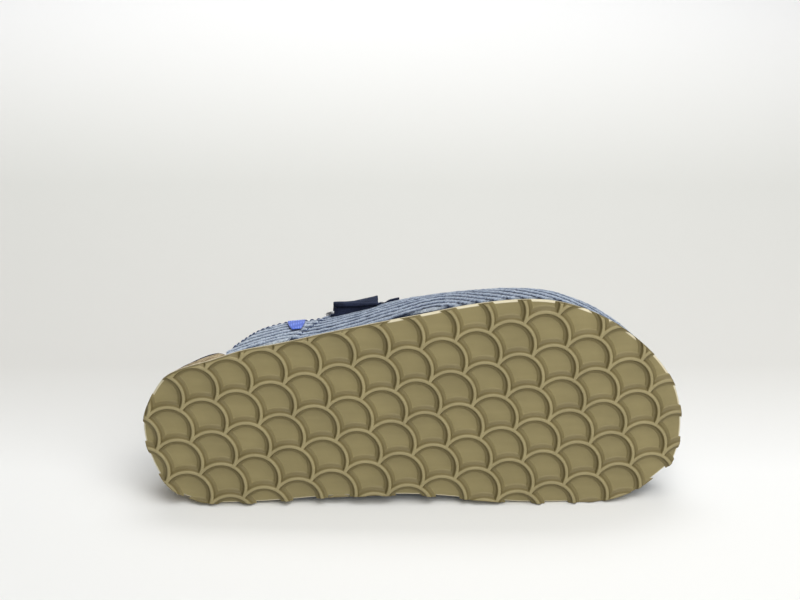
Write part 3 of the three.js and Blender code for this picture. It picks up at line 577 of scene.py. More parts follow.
def makeOutsole():
    step = len(outline) // tread["edgePoints"] or 1
    points, levels = [], []
    for inset, height in tread["side"]:
        level = ring(lambda share, side: np.full_like(share, inset))[::-step]
        levels.append(len(level))
        points += [(x, y, height) for x, y in level]
    slab = meshObject("outsole_tread", points, stackFaces(levels[0], len(levels)))
    editMesh(slab, lambda: mergeAndTurnOut(0.001))
    radius = tread["scaleWidth"] / 2
    angle = math.radians(tread["turn"])
    edge, heelTip, toeTip = ringEdges(lambda share, side: np.zeros_like(share))
    rings = [(pocketOutline(inset), depth) for inset, depth in tread["wall"]]
    cutPoints, cutFaces = [], []
    count = math.ceil(length / radius)
    for row in range(-count, count + 1):
        for k in range(-count, count + 1):
            across, up = (2 * k + row % 2) * radius, row * radius
            x = length / 2 + up * math.cos(angle) - across * math.sin(angle)
            y = -last["ballWidth"] / 2 - up * math.sin(angle) - across * math.cos(angle)
            held = min(max(x, heelTip[0] + radius), toeTip[0] - radius)
            if not -radius < x < length + radius:
                continue
            if not edge(held, lateral) - radius < y < edge(held, medial) + radius:
                continue
            cutFaces += stackFaces(len(rings[0][0]), len(rings), len(cutPoints))
            for flat, depth in rings:
                for a, u in flat:
                    px = x + u * math.cos(angle) - a * math.sin(angle)
                    py = y - u * math.sin(angle) - a * math.cos(angle)
                    cutPoints.append((px, py, depth))
    cutter = meshObject("pockets", cutPoints, cutFaces)
    editMesh(cutter, lambda: mergeAndTurnOut(0.0001))
    cut = slab.modifiers.new("pockets", "BOOLEAN")
    cut.operation, cut.solver, cut.object = "DIFFERENCE", "MANIFOLD", cutter
    applyModifiers(slab)
    bpy.data.objects.remove(cutter)
    activate(slab)
    bpy.ops.object.mode_set(mode="EDIT")
    for at in np.linspace(last["toeSpringStart"] * length + tread["bendAfter"],
                          length - tread["bendBefore"], tread["bendCuts"]):
        bpy.ops.mesh.select_all(action="SELECT")
        bpy.ops.mesh.bisect(plane_co=(at, 0, 0), plane_no=(1, 0, 0))
    bpy.ops.object.mode_set(mode="OBJECT")
    place = np.empty(len(slab.data.vertices) * 3)
    slab.data.vertices.foreach_get("co", place)
    place = place.reshape(-1, 3)
    layer = slab.data.attributes.new("treadHeight", "FLOAT", "POINT")
    layer.data.foreach_set("value", place[:, 2].astype(np.float32))
    place[:, 2] += rise(place[:, 0])
    slab.data.vertices.foreach_set("co", place.ravel())
    return finishPiece(slab, eva, ["outsole"], 35)


outsole = makeOutsole()
print("outsole", len(outsole.data.polygons))

# Upper: outer face with wales, coarse inner face, cloth edge in between.
upper = {
    "openStations": 7, "closedStations": 16, "sideRows": 6, "middleRows": 5, "rearCrowding": 1.2,
    "openFine": 8, "closedFine": 9, "columnFine": 15,
    "inside": (-45, 20), "medialSlide": 0.35, "roundness": 0.94, "wobbleScale": 0.055, "wobble": 0.1,
    "unevenScale": 0.09, "uneven": 0.35, "tuftScale": 0.6, "tuftLift": 0.34, "toeRelief": 0.5,
    "walePitch": 5.9, "quarterPitch": 5.6, "waleDepth": 2.2, "crestLift": 0.05, "fold": 1.3,
    "quarterSlope": 11,      # degrees that the wales of the quarter rise towards the front
    "quarterStart": 79, "quarterDrop": 0.35,
    "seamFoot": 72.5, "seamLean": 0.43, "seamRoll": 0.6, "seamRollWidth": 3.4,
    "drift": [  # x, how far the wales slide down on the wall
        (79, 5), (98, 10), (130, 13), (150, 18), (172, 6), (200, -9), (235, -10), (255, -5), (270, 0),
    ],
    # wales lie wider apart on the slant
    "wideWall": [138, 165, 238, 262], "wideHeight": 32, "wideShare": 0.2,
    "driftStart": 0.22,      # share of the girth from which the slide fades towards the ridge
}


# Girth along the section at x, from the seat up to share, on a fine table.
def girthTable(side, samples=90, shares=80):
    xs = np.linspace(0.12 * length, 0.9925 * length, samples)
    steps = np.linspace(0, 1, shares)
    run = []
    for x in xs:
        points = upperPoint(np.full(shares, x), side, steps, 0)
        run.append(np.concatenate([[0], np.cumsum(np.linalg.norm(np.diff(points, axis=0), axis=1))]))
    run = np.array(run)

    def girth(x, share):
        u = np.clip((x - xs[0]) / (xs[1] - xs[0]), 0, samples - 1.001)
        v = np.clip(share, 0, 1) * (shares - 1.001)
        i, j = u.astype(int), v.astype(int)
        fu, fv = u - i, v - j
        low = mix(run[i, j], run[i, j + 1], fv)
        high = mix(run[i + 1, j], run[i + 1, j + 1], fv)
        return mix(low, high, fu)
    return girth


# Points, shares and sides of the upper's net, fine times as dense as the solid's.
def upperNet(shrink, fineOpen, fineClosed, fineColumn):
    sideRows, middleRows = upper["sideRows"] * fineColumn, upper["middleRows"] * fineColumn
    half = sideRows + middleRows
    columns = 2 * half + 1
    openRows, closedRows = upper["openStations"] * fineOpen, upper["closedStations"] * fineClosed
    c = np.arange(columns)
    up = np.where(c <= half, c, columns - 1 - c)
    cornerX, throatX = last["cornerShare"] * length, last["throatShare"] * length
    toeX = archSize(np.array([length]), lateral, shrink)[0][0]
    points = np.zeros((openRows + closedRows + 1, columns, 3))
    shares = np.zeros((openRows + closedRows + 1, columns))
    for i in range(openRows + closedRows + 1):
        for side in (lateral, medial):
            mine = c <= half if side == lateral else c > half
            u = up[mine]
            if i < openRows:
                x = np.full(len(u),
                            mix(last["rearShare"] * length, cornerX,
                                (i / openRows) ** upper["rearCrowding"]))
                share = shareAtHeight(x, side, toplineHeight(x / length, side), shrink) * u / sideRows
            else:
                top = shareAtHeight(np.array([cornerX]), side,
                                    toplineHeight(last["cornerShare"], side), shrink)[0]
                toMiddle = np.maximum(u - sideRows, 0) / middleRows
                share = np.where(u <= sideRows, top * u / sideRows, mix(top, 1, toMiddle))
                begin = mix(cornerX, throatX, np.sin(toMiddle * math.pi / 2))
                x = mix(begin, toeX, math.sin((i - openRows) / closedRows * math.pi / 2))
            points[i, mine] = upperPoint(x, side, share, shrink)
            shares[i, mine] = share
    return points, shares, sideRows, openRows


def netFaces(rows, columns, sideRows, openRows):
    faces = []
    for i in range(rows - 1):
        for c in range(columns - 1):
            if i >= openRows or c < sideRows or c >= columns - 1 - sideRows:
                a = i * columns + c
                faces.append((a, a + columns, a + columns + 1, a + 1))
    return faces


# The open edge of the net as column and row steps, from the lateral seat round to the medial one.
def edgeWalk(rows, columns, sideRows, openRows):
    walk = [(i, 0) for i in range(rows - 1, 0, -1)]
    walk += [(0, c) for c in range(sideRows)]
    walk += [(i, sideRows) for i in range(openRows)]
    walk += [(openRows, c) for c in range(sideRows, columns - 1 - sideRows)]
    walk += [(i, columns - 1 - sideRows) for i in range(openRows, 0, -1)]
    walk += [(0, c) for c in range(columns - 1 - sideRows, columns - 1)]
    walk += [(i, columns - 1) for i in range(rows - 1)]
    return walk


def makeUpper():
    outer, shares, sideRows, openRows = upperNet(0, upper["openFine"], upper["closedFine"],
                                                 upper["columnFine"])
    rows, columns = shares.shape
    alongStep = np.gradient(outer, axis=0)
    acrossStep = np.gradient(outer, axis=1)
    normal = np.cross(acrossStep, alongStep)
    size = np.linalg.norm(normal, axis=2)
    normal = normal / np.maximum(size, 1e-9)[..., None]
    centre = np.array([(p[0], *upper["inside"]) for p in outer.reshape(-1, 3)]).reshape(outer.shape)
    flip = np.sign(np.sum(normal * (outer - centre), axis=2))
    normal *= np.where(flip == 0, 1, flip)[..., None]
    x, z = outer[..., 0], outer[..., 2]
    phase = np.zeros((rows, columns))
    run = np.zeros((rows, columns))
    middle = columns // 2
    slide = columnOf(upper["drift"], 1)
    for side in (lateral, medial):
        mine = np.zeros((rows, columns), bool)
        mine[:, :middle + 1] = side == lateral
        mine[:, middle + 1:] = side == medial
        girth = girthTable(side)
        g = girth(x[mine], shares[mine])
        full = girth(x[mine], np.ones(mine.sum()))
        toRidge = full - g
        drift = slide(x[mine]) * (1 if side == lateral else upper["medialSlide"])
        weight = np.clip((1 - g / full) / (1 - upper["driftStart"]), 0, 1)
        first, second, third, fourth = upper["wideWall"]
        wide = smoothStep(first, second, x[mine]) * (1 - smoothStep(third, fourth, x[mine]))
        spread = upper["wideShare"] * np.maximum(upper["wideHeight"] - g, 0) * wide * (side == lateral)
        vamp = (toRidge + drift * weight - spread) / upper["walePitch"] + 0.5
        slope = math.radians(upper["quarterSlope"])
        quarter = (g * math.cos(slope) - (x[mine] - upper["quarterStart"])
                   * math.sin(slope)) / upper["quarterPitch"]
        seam = upper["seamFoot"] + (z[mine] - upperSeat) * upper["seamLean"]
        behind = x[mine] < seam
        phase[mine] = np.where(behind, quarter + 100, vamp)
        run[mine] = x[mine]
    seam = upper["seamFoot"] + (z - upperSeat) * upper["seamLean"]
    drop = np.where(x < seam, upper["quarterDrop"], 0)
    past = (x - seam) / upper["seamRollWidth"]
    roll = np.where((past > 0) & (past < 1), np.sin(np.clip(past, 0, 1) * math.pi) ** 0.6,
                    0) * upper["seamRoll"]
    flat = outer.reshape(-1, 3)

    # Smooth noise on every point of the outer face.
    def cloudy(scale, shift=(0, 0, 0)):
        spots = [noise.noise(Vector(p) * scale + Vector(shift)) for p in flat]
        return np.array(spots).reshape(rows, columns)
    phase += cloudy(upper["wobbleScale"]) * upper["wobble"]
    u = (phase % 1) * 2 - 1
    rope = np.sqrt(1 - upper["roundness"] * u * u) - 1
    uneven = 1 + upper["uneven"] * cloudy(upper["unevenScale"], (9, 4, 2))
    lift = upper["crestLift"] + rope * upper["waleDepth"] * uneven - drop + roll
    lift += cloudy(upper["tuftScale"]) * upper["tuftLift"]
    toToe = smoothStep(last["noseShare"] * length, length * 0.985, x)
    lift = mix(lift, lift * upper["toeRelief"], toToe)
    shell = outer + normal * lift[..., None]
    shell[-1] = outer[-1]
    inner, innerShares, innerSide, innerOpen = upperNet(last["wall"] - 0.4, 1, 1, 1)
    innerRows, innerColumns = innerShares.shape
    points = list(shell.reshape(-1, 3)) + list(inner.reshape(-1, 3))
    faces = netFaces(rows, columns, sideRows, openRows)
    offset = rows * columns
    outside = len(faces)
    faces += [tuple(offset + k for k in reversed(face))
              for face in netFaces(innerRows, innerColumns, innerSide, innerOpen)]
    covered = len(faces)
    fineWalk = edgeWalk(rows, columns, sideRows, openRows)
    coarseWalk = edgeWalk(innerRows, innerColumns, innerSide, innerOpen)

    # The coarse step that faces each fine step of the edge.
    def partner(i, c):
        closed = (i - openRows) / upper["closedFine"]
        row = i / upper["openFine"] if i <= openRows else innerOpen + closed
        return coarseIndex[(int(round(row)), int(round(c / upper["columnFine"])))]
    coarseIndex = {step: k for k, step in enumerate(coarseWalk)}
    coarseIndex[(innerRows - 1, innerColumns - 1)] = 0
    fineKeys = [i * columns + c for i, c in fineWalk]
    coarseKeys = [offset + i * innerColumns + c for i, c in coarseWalk]
    matched = [partner(i, c) for i, c in fineWalk]
    turned = upperNet(upper["fold"], upper["openFine"], upper["closedFine"], upper["columnFine"])[0]
    turnedKeys = [len(points) + k for k in range(len(fineWalk))]
    points += [turned[step] for step in fineWalk]
    for k in range(len(fineWalk)):
        n = (k + 1) % len(fineWalk)
        faces.append((fineKeys[k], fineKeys[n], turnedKeys[n], turnedKeys[k]))
    folded = len(faces)
    for k in range(len(fineWalk)):
        n = (k + 1) % len(fineWalk)
        a, b = coarseKeys[matched[k]], coarseKeys[matched[n]]
        if matched[k] == matched[n]:
            faces.append((turnedKeys[k], turnedKeys[n], a))
        else:
            faces.append((turnedKeys[k], turnedKeys[n], b, a))
    zeros = np.zeros(len(inner.reshape(-1, 3)))
    edgePhase = np.concatenate([zeros, phase.flat[fineKeys]])
    edgeRun = np.concatenate([zeros, run.flat[fineKeys]])
    edgeVamp = np.concatenate([zeros, (x >= seam).flat[fineKeys]])
    piece = meshObject("corduroy_upper", points, faces, {
        "waleAcross": np.concatenate([phase.ravel(), edgePhase]),
        "waleAlong": np.concatenate([run.ravel(), edgeRun]),
        "onVamp": np.concatenate([(x >= seam).ravel(), edgeVamp]),
    }, [0] * outside + [1] * (covered - outside) + [0] * (folded - covered) + [1]
    * (len(faces) - folded))
    editMesh(piece, lambda: bpy.ops.mesh.delete_loose(), lambda: mergeAndTurnOut(0.01))
    return finishPiece(piece, [corduroy, lining], ["upper"], 80)


upperPiece = makeUpper()
print("upper", len(upperPiece.data.polygons))

# Footbed: cork body and suede liner.
footbed = {
    "heelInset": 1.6, "heelTaper": 2.8, "taper": 2.4, "rearLean": 1.4, "sideEnd": 0.128,
    "backLean": 2.4, "cupHeight": 25, "cupEnd": 30,
    "tipRim": 0.95, "backFrom": 0.05, "backTo": 0.125, "lipLead": 0.02, "tipShare": 0.06,
    "linerRows": 120, "linerColumns": 32, "endCrowding": 0.8,
    "capEnd": 12, "capDrop": 0.05, "corkStep": 3, "bulgeFade": 0.2, "bulgeFull": 0.14,
    "cupPower": 2.8, "linerInset": 0.7, "heelLip": 0.95, "linerThickness": 1.5,
    "rows": [  # at, middle, lateral rim, medial rim in cup heights
        (0, 0.68, 0.96, 0.94), (0.15, 0.5, 0.86, 0.92), (0.3, 0.56, 0.76, 1), (0.42, 0.62, 0.68, 1.02),
        (0.6, 0.46, 0.56, 0.64), (0.72, 0.38, 0.5, 0.5), (0.79, 0.46, 0.5, 0.5),
        (0.88, 0.38, 0.46, 0.46), (1, 0.38, 0.42, 0.42),
    ],
    "corkSide": [  # share of the height, bulge outwards
        (0, 0), (0.08, 0.3), (0.3, 0.6), (0.62, 0.5), (0.86, 0.2), (0.96, -0.15), (1, -0.6),
    ],
    # rings of the cork's top on the way to its middle line
    "corkCap": [0.03, 0.1, 0.25, 0.5, 0.75, 0.93],
}
rimShare = sides(footbed["rows"])
middleShare = columnOf(footbed["rows"], 1)


def corkInset(share, side):
    covered = upperInset(share, side) + last["wall"] + last["corkClearance"]
    return mix(footbed["heelInset"], covered, smoothStep(footbed["sideEnd"], last["rearShare"], share))


def corkTopInset(share, side):
    rear = 1 - smoothStep(last["rearShare"], last["throatShare"], share)
    lean = footbed["taper"] + footbed["rearLean"] * rear
    covered = upperInset(share, side) + last["wall"] + last["corkClearance"] + lean
    back = 1 - smoothStep(footbed["backFrom"], footbed["backTo"], share)
    heel = footbed["heelInset"] + footbed["heelTaper"] + footbed["backLean"] * back
    return mix(heel, covered, smoothStep(footbed["sideEnd"], last["rearShare"], share))


def linerInset(share, side):
    behind = smoothStep(last["rearShare"], footbed["sideEnd"] - footbed["lipLead"], share)
    lip = footbed["linerInset"] - footbed["heelLip"] * behind
    return corkTopInset(share, side) + lip


linerEdge, linerHeel, linerToe = ringEdges(linerInset)


# Height of the footbed at x and at across, which runs from -1 on the lateral rim to 1 on the medial one.
def footbedHeight(x, across):
    share = x / length
    rim = np.where(across < 0, rimShare(share, lateral), rimShare(share, medial))
    rim = mix(rim, footbed["tipRim"], smoothStep(footbed["tipShare"], 0, share))
    toEnd = np.minimum(x - footbed["heelInset"], length - footbed["heelInset"] - x)
    endwards = np.maximum(1 - toEnd / footbed["cupEnd"], 0)
    rimwards = np.minimum(np.hypot(across, endwards), 1) ** footbed["cupPower"]
    cup = footbed["cupHeight"] * mix(middleShare(share), rim, rimwards)
    return last["soleThickness"] + cup + rise(x)


def ringHeights(points):
    share = points[:, 0] / length
    top = np.where(outlineSide == lateral, rimShare(share, lateral), rimShare(share, medial))
    top = mix(top, footbed["tipRim"], smoothStep(footbed["tipShare"], 0, share))
    return last["soleThickness"] + footbed["cupHeight"] * top + rise(points[:, 0])


def makeCork():
    bottom, top = ring(corkInset), ring(corkTopInset)
    seatHeight = last["soleThickness"] + last["clearance"] + rise(bottom[:, 0])
    topHeight = ringHeights(top)
    points, step, levels = [], footbed["corkStep"], 0
    shown = smoothStep(footbed["bulgeFade"], footbed["bulgeFull"], outline[:, 0] / length)
    for at, bulge in footbed["corkSide"]:
        flat = mix(bottom, top, at) - inwards * (bulge * shown)[:, None]
        points += list(np.column_stack([flat, mix(seatHeight, topHeight, at)])[::step])
        levels += 1
    rim = ring(linerInset)[::step]
    middleX = np.clip(rim[:, 0], linerHeel[0] + footbed["capEnd"], linerToe[0] - footbed["capEnd"])
    middle = np.column_stack([middleX, (linerEdge(middleX, lateral) + linerEdge(middleX, medial)) / 2])
    for at in footbed["corkCap"]:
        flat = mix(rim, middle, at)
        held = np.clip(flat[:, 0], linerHeel[0], linerToe[0])
        low, high = linerEdge(held, lateral), linerEdge(held, medial)
        across = np.clip((flat[:, 1] - low) / np.maximum(high - low, 0.01), 0, 1) * 2 - 1
        points += list(np.column_stack([flat,
                                        footbedHeight(flat[:, 0], across) - footbed["capDrop"] - at]))
        levels += 1
    piece = meshObject("cork_body", points, stackFaces(len(rim), levels))
    editMesh(piece, lambda: bpy.ops.mesh.normals_make_consistent(inside=False))
    return finishPiece(piece, cork, ["cork_core"], 60)


# The liner covers the footbed: heel cup, arch and toe bar show in its surface.
def makeLiner():
    rows, columns = footbed["linerRows"], footbed["linerColumns"]
    across = np.linspace(-1, 1, columns + 1)
    top = np.zeros((rows + 1, columns + 1, 3))
    for i in range(rows + 1):
        even = i / rows
        x = mix(linerHeel[0], linerToe[0],
                mix(even, (1 - math.cos(math.pi * even)) / 2, footbed["endCrowding"]))
        tip = linerHeel[1] if i == 0 else linerToe[1]
        low, high = (tip, tip) if i in (0, rows) else (linerEdge(x, lateral), linerEdge(x, medial))
        y = mix(low, high, (across + 1) / 2)
        top[i] = np.column_stack([np.full(columns + 1, x), y, footbedHeight(x, across)])
    piece = meshObject("suede_liner", top.reshape(-1, 3) + (0, 0, last["clearance"]),
                       gridFaces(rows + 1, columns + 1))
    editMesh(piece, lambda: mergeAndTurnOut(0.001))
    if sum(p.normal.z for p in piece.data.polygons) < 0:
        editMesh(piece, lambda: bpy.ops.mesh.flip_normals())
    wall = piece.modifiers.new("thickness", "SOLIDIFY")
    wall.thickness, wall.offset = footbed["linerThickness"], 1
    applyModifiers(piece)
    return finishPiece(piece, linerSuede, ["footbed_liner"], 50)


corkPiece = makeCork()
linerPiece = makeLiner()
print("footbed", len(corkPiece.data.polygons), len(linerPiece.data.polygons))

# Instep strap, tab and buckle.
strap = {
    "width": 23, "rearShare": 0.349, "thickness": 1.9, "medialEnd": 0.3, "gap": 0.6, "freeEnd": 0.2,
    "freeEndRearLift": 4.9, "freeEndFrontLift": 0.45, "rows": 150, "columns": 14, "tipSlim": 0.55,
    "rounding": 0.55,
    "lift": [(0, 0), (0.64, 0), (0.75, 0.1), (0.83, 0.56), (0.88, 1), (0.92, 1), (1, 0.55)],
    "holes": [0.34, 0.53, 0.62, 0.7], "holeSize": 3.2,
}
# lower: share of the wall where its lower bar lies
buckle = {"lower": 0.4, "thickness": 1.8, "lift": 0.6}
tab = {
    "overhang": 1.5, "columns": 16, "girth": 95,
    "earUnder": 4, "earDepth": 15, "earBow": 0.02, "earLow": 0.31, "earHigh": 0.47,
    "earThin": 0.35, "earThick": 1.5, "earSides": 0.6, "padFrom": 0.215, "padTo": 0.36, "padGap": 0.5,
    "path": [  # share of the wall, lift off it: the tab runs up the wall and folds round the lower bar
        (0.24, 0.12), (0.27, 0.12), (0.31, 0.15), (0.35, 0.3), (0.37, 0.6), (0.3795, 1.1),
        (0.383, 1.9), (0.388, 2.5),
        (0.4, 2.62), (0.412, 2.5), (0.418, 1.9), (0.4195, 1.1), (0.417, 0.55), (0.41, 0.2),
    ],
    # its thickness on the way
    "depth": [0.7, 0.7, 0.7, 0.75, 0.7, 0.45, 0.32, 0.3, 0.28, 0.28, 0.3, 0.3, 0.25, 0.15],
}
strapRear = strap["rearShare"] * length
medialRun = 1 - strap["medialEnd"]
strapRun = medialRun + 1 - strap["freeEnd"]
liftShare = columnOf([(a, b, b) for a, b in strap["lift"]], 1)
overBar = buckle["lift"] + buckle["thickness"] + strap["gap"]


def strapLift(along):
    return mix(last["clearance"], overBar, liftShare(along))


# How far the strap's inner face stands off the wall.
def strapStand(along, across, share):
    toTip = smoothStep(buckle["lower"], strap["freeEnd"], share)
    flare = mix(strap["freeEndRearLift"], strap["freeEndFrontLift"], across) - strapLift(1)
    return float(strapLift(along)) + flare * float(toTip)


# The strap's inner face: along runs from its medial end over the ridge to its free end.
def strapPoint(along, across, lift):
    x = np.array([strapRear + strap["width"] * across])
    run = along * strapRun
    onMedial = run < medialRun
    side = medial if onMedial else lateral
    share = strap["medialEnd"] + run if onMedial else 1 - (run - medialRun)
    stand = strapStand(along, across, 1 if onMedial else share)
    slim = mix(1, strap["tipSlim"],
               across * smoothStep(buckle["lower"], strap["freeEnd"], 1 if onMedial else share))
    return upperPoint(x, side, share, -(stand + lift * float(slim)))[0]


# A band from a face function, with its long edges and ends rounded.
def makeBand(name, place, rows, columns, thickness, rounding):
    points, faces = [], []
    for lift in (0, thickness):
        for i in range(rows + 1):
            for c in range(columns + 1):
                points.append(place(i / rows, c / columns, lift))
    size = (rows + 1) * (columns + 1)
    faces += gridFaces(rows + 1, columns + 1, size)
    faces += [tuple(reversed(face)) for face in gridFaces(rows + 1, columns + 1)]
    walk = [(0, c) for c in range(columns)] + [(i, columns) for i in range(rows)]
    walk += [(rows, c) for c in range(columns, 0, -1)] + [(i, 0) for i in range(rows, 0, -1)]
    keys = [i * (columns + 1) + c for i, c in walk]
    for k in range(len(keys)):
        a, b = keys[k], keys[(k + 1) % len(keys)]
        faces.append((a, b, size + b, size + a))
    piece = meshObject(name, points, faces)
    editMesh(piece, lambda: mergeAndTurnOut(0.001))
    bevel = piece.modifiers.new("soft edges", "BEVEL")
    bevel.width, bevel.segments, bevel.angle_limit = rounding, 3, math.radians(50)
    applyModifiers(piece)
    return piece


# Moves points of a soft piece a little, so that cut suede edges are not ruler straight.
def roughen(item, amount, scale, seed):
    for vertex in item.data.vertices:
        offset = noise.noise_vector(vertex.co * scale + Vector((seed, 0, 0)))
        vertex.co += offset * amount


def makeStrap():
    piece = makeBand("instep_strap_suede", strapPoint, strap["rows"], strap["columns"],
                     strap["thickness"], strap["rounding"])
    cutters = []
    for share in strap["holes"]:
        along = (medialRun + 1 - share) / strapRun
        foot = Vector(strapPoint(along, 0.5, 0))
        head = Vector(strapPoint(along, 0.5, strap["thickness"]))
        bpy.ops.mesh.primitive_cylinder_add(vertices=24, radius=strap["holeSize"] / 2, depth=6,
                                            location=(foot + head) / 2)
        cutter = bpy.context.object
        cutter.rotation_euler = (head - foot).to_track_quat("Z", "Y").to_euler()
        cutters.append(cutter)
    activate(*cutters)
    bpy.ops.object.transform_apply(location=True, rotation=True, scale=True)
    bpy.ops.object.join()
    cutter = bpy.context.object
    cut = piece.modifiers.new("holes", "BOOLEAN")
    cut.operation, cut.solver, cut.object = "DIFFERENCE", "MANIFOLD", cutter
    applyModifiers(piece)
    bpy.data.objects.remove(cutter)
    roughen(piece, 0.3, 0.22, 3)
    return finishPiece(piece, suede, ["instep_strap"], 45)


def makeTab():
    path = [(share, lift) for share, lift in tab["path"]]
    outer = []
    for k, (share, lift) in enumerate(path):
        before, after = path[max(k - 1, 0)], path[min(k + 1, len(path) - 1)]
        alongWall, off = (after[0] - before[0]) * tab["girth"], after[1] - before[1]
        size = math.hypot(alongWall, off)
        outer.append((share - off / size * tab["depth"][k] / tab["girth"],
                      lift + alongWall / size * tab["depth"][k]))
    profile = path + outer[::-1]
    points = []
    for i in range(tab["columns"] + 1):
        start, full = strapRear - tab["overhang"], strap["width"] + 2 * tab["overhang"]
        x = np.array([start + full * i / tab["columns"]])
        for share, lift in profile:
            slim = smoothStep(0.35, 0.375, share) * 2.3 * (1 - 2 * i / tab["columns"])
            points.append(upperPoint(x + slim, lateral, share, -lift)[0])
    piece = meshObject("buckle_tab_suede", points, stackFaces(len(profile), tab["columns"] + 1))
    editMesh(piece, lambda: bpy.ops.mesh.normals_make_consistent(inside=False))

    # The soft ear of the tab in front of the buckle: thin below the frame, thick beyond it.
    def placeEar(along, across, lift):
        x = np.array([strapRear + strap["width"] - tab["earUnder"] + tab["earDepth"] * across])
        bow = tab["earBow"] * math.sin(math.pi * along)
        share = mix(tab["earLow"] + bow * across, tab["earHigh"] - bow * across, along)
        sides = mix(tab["earSides"], 1, math.sin(math.pi * along) ** 0.5)
        thick = mix(tab["earThin"], tab["earThick"], smoothStep(0.45, 0.7, across)) * sides
        return upperPoint(x, lateral, share, -(0.12 + lift * float(thick)))[0]
    ear = makeBand("ear", placeEar, 14, 14, 1, 0.1)

    # The tab's doubled end under the strap's free end: it fills the space up to the strap.
    def placePad(along, across, lift):
        x = np.array([strapRear + 0.5 + (strap["width"] - 1) * across])
        share = mix(tab["padFrom"], tab["padTo"], along)
        stand = strapStand((medialRun + 1 - share) / strapRun, across, share) - tab["padGap"]
        return upperPoint(x, lateral, share, -mix(0.12, max(stand, 0.3), lift))[0]
    pad = makeBand("pad", placePad, 14, 14, 1, 0.2)
    activate(piece, ear, pad)
    bpy.ops.object.join()
    roughen(piece, 0.06, 0.3, 8)
    return finishPiece(piece, suede, ["buckle_tab"], 45)


# The buckle keeps its CAD shape: a merged copy gets rounded edges.
def makeHardware(name, node, rounding):
    copy = frame["nodes"][node].copy()
    copy.data = copy.data.copy()
    copy.name = name
    for key in list(copy.keys()):
        del copy[key]
    copy.parent = None
    bpy.context.collection.objects.link(copy)
    copy.data.transform(toRow.inverted())
    editMesh(copy, lambda: bpy.ops.mesh.remove_doubles(threshold=0.002),
             lambda: bpy.ops.mesh.dissolve_limited(angle_limit=math.radians(1)))
    bevel = copy.modifiers.new("tumbled edges", "BEVEL")
    bevel.width, bevel.segments, bevel.angle_limit = rounding, 2, math.radians(25)
    applyModifiers(copy)
    return finishPiece(copy, nickel, [node], 50)


makeStrap()
makeTab()
makeHardware("buckle_frame_nickel", "buckle_frame", 0.16)
makeHardware("buckle_pin_nickel", "buckle_pin", 0.1)
print("strap and buckle")

# Side tag: a bare ribbon.
tag = {"share": 0.263, "width": 9, "height": 18, "thickness": 0.6, "drop": 6.2}


def makeTag():
    x0 = tag["share"] * length
    top = float(toplineHeight(tag["share"], lateral)) - tag["drop"]

    def place(along, across, lift):
        narrow = 0.5 + 0.5 * math.sin(math.pi / 2 * along) ** 0.8
        x = np.array([x0 + tag["width"] * (0.55 + (across - 0.55) * narrow)])
        share = shareAtHeight(np.array([x0]), lateral, top - tag["height"] * (1 - along), 0)
        return upperPoint(x, lateral, share, -(last["clearance"] + lift))[0]
    piece = makeBand("side_tag_ribbon", place, 12, 12, tag["thickness"], 0.2)
    return finishPiece(piece, ribbon, ["side_tag"], 45)


makeTag()

# Seams: one stitch is a short thread that dips into the cloth at both ends.
stitches = {"pitch": 3.4, "length": 2.5, "thread": 0.36, "sides": 6, "rings": 7, "fromEdge": 3.2,
            "sunk": 0.3}


def makeStitches(name, spots, material):
    points, faces = [], []
    for start, end, out in spots:
        start, end, out = (np.asarray(v, float) for v in (start, end, out))
        along = end - start
        along /= np.linalg.norm(along)
        across = np.cross(along, out)
        offset = len(points)
        for k in range(stitches["rings"]):
            t = k / (stitches["rings"] - 1)
            swell = stitches["thread"] * (0.45 + 0.55 * math.sin(math.pi * t) ** 0.6)
            centre = mix(start, end, t) + out * (math.sin(math.pi * t) ** 0.7 * 0.55 - stitches["sunk"])
            for j in range(stitches["sides"]):
                angle = 2 * math.pi * j / stitches["sides"]
                points.append(centre + (across * math.cos(angle) + out * math.sin(angle)) * swell)
        faces += stackFaces(stitches["sides"], stitches["rings"], offset)
    piece = meshObject(name, points, faces)
    editMesh(piece, lambda: bpy.ops.mesh.normals_make_consistent(inside=False))
    return finishPiece(piece, material, (), 70)


# Stitches along a line of points on the upper's outer face.
def stitchLine(line, side):
    line = np.array(line)
    run = np.concatenate([[0], np.cumsum(np.linalg.norm(np.diff(line, axis=0), axis=1))])
    spots = []
    for k in range(int(run[-1] / stitches["pitch"])):
        ends = [(k + 0.5) * stitches["pitch"] + half * stitches["length"] for half in (-0.5, 0.5)]
        start, end = (np.array([np.interp(e, run, line[:, c]) for c in range(3)]) for e in ends)
        middle = (start + end) / 2
        inner = upperPoint(np.array([middle[0]]), side,
                           shareAtHeight(np.array([middle[0]]), side, middle[2], 0), 2)[0]
        out = middle - inner
        out[0] = 0
        spots.append((start, end, out / max(np.linalg.norm(out), 0.01)))
    return spots


def seamSpots():
    spots = []
    for side in (lateral, medial):
        line = []
        for x in np.linspace((last["rearShare"] + 0.012) * length, last["cornerShare"] * length - 3,
                             60):
            height = toplineHeight(x / length, side) - stitches["fromEdge"]
            share = shareAtHeight(np.array([x]), side, height, 0)
            line.append(upperPoint(np.array([x]), side, share, 0.25)[0])
        spots += stitchLine(line, side)
        line = []
        for z in np.linspace(upperSeat + 4, toplineHeight(0.31, side) - 4, 40):
            x = upper["seamFoot"] + (z - upperSeat) * upper["seamLean"] + stitches["fromEdge"]
            share = shareAtHeight(np.array([x]), side, z, 0)
            line.append(upperPoint(np.array([x]), side, share, 0)[0])
        spots += stitchLine(line, side)
    return spots


thread = makeSuedeMaterial("polyester_thread", "2a3450", "55617f")
stitchPiece = makeStitches("seam_stitches", seamSpots(), thread)
print("stitches", len(stitchPiece.data.polygons))

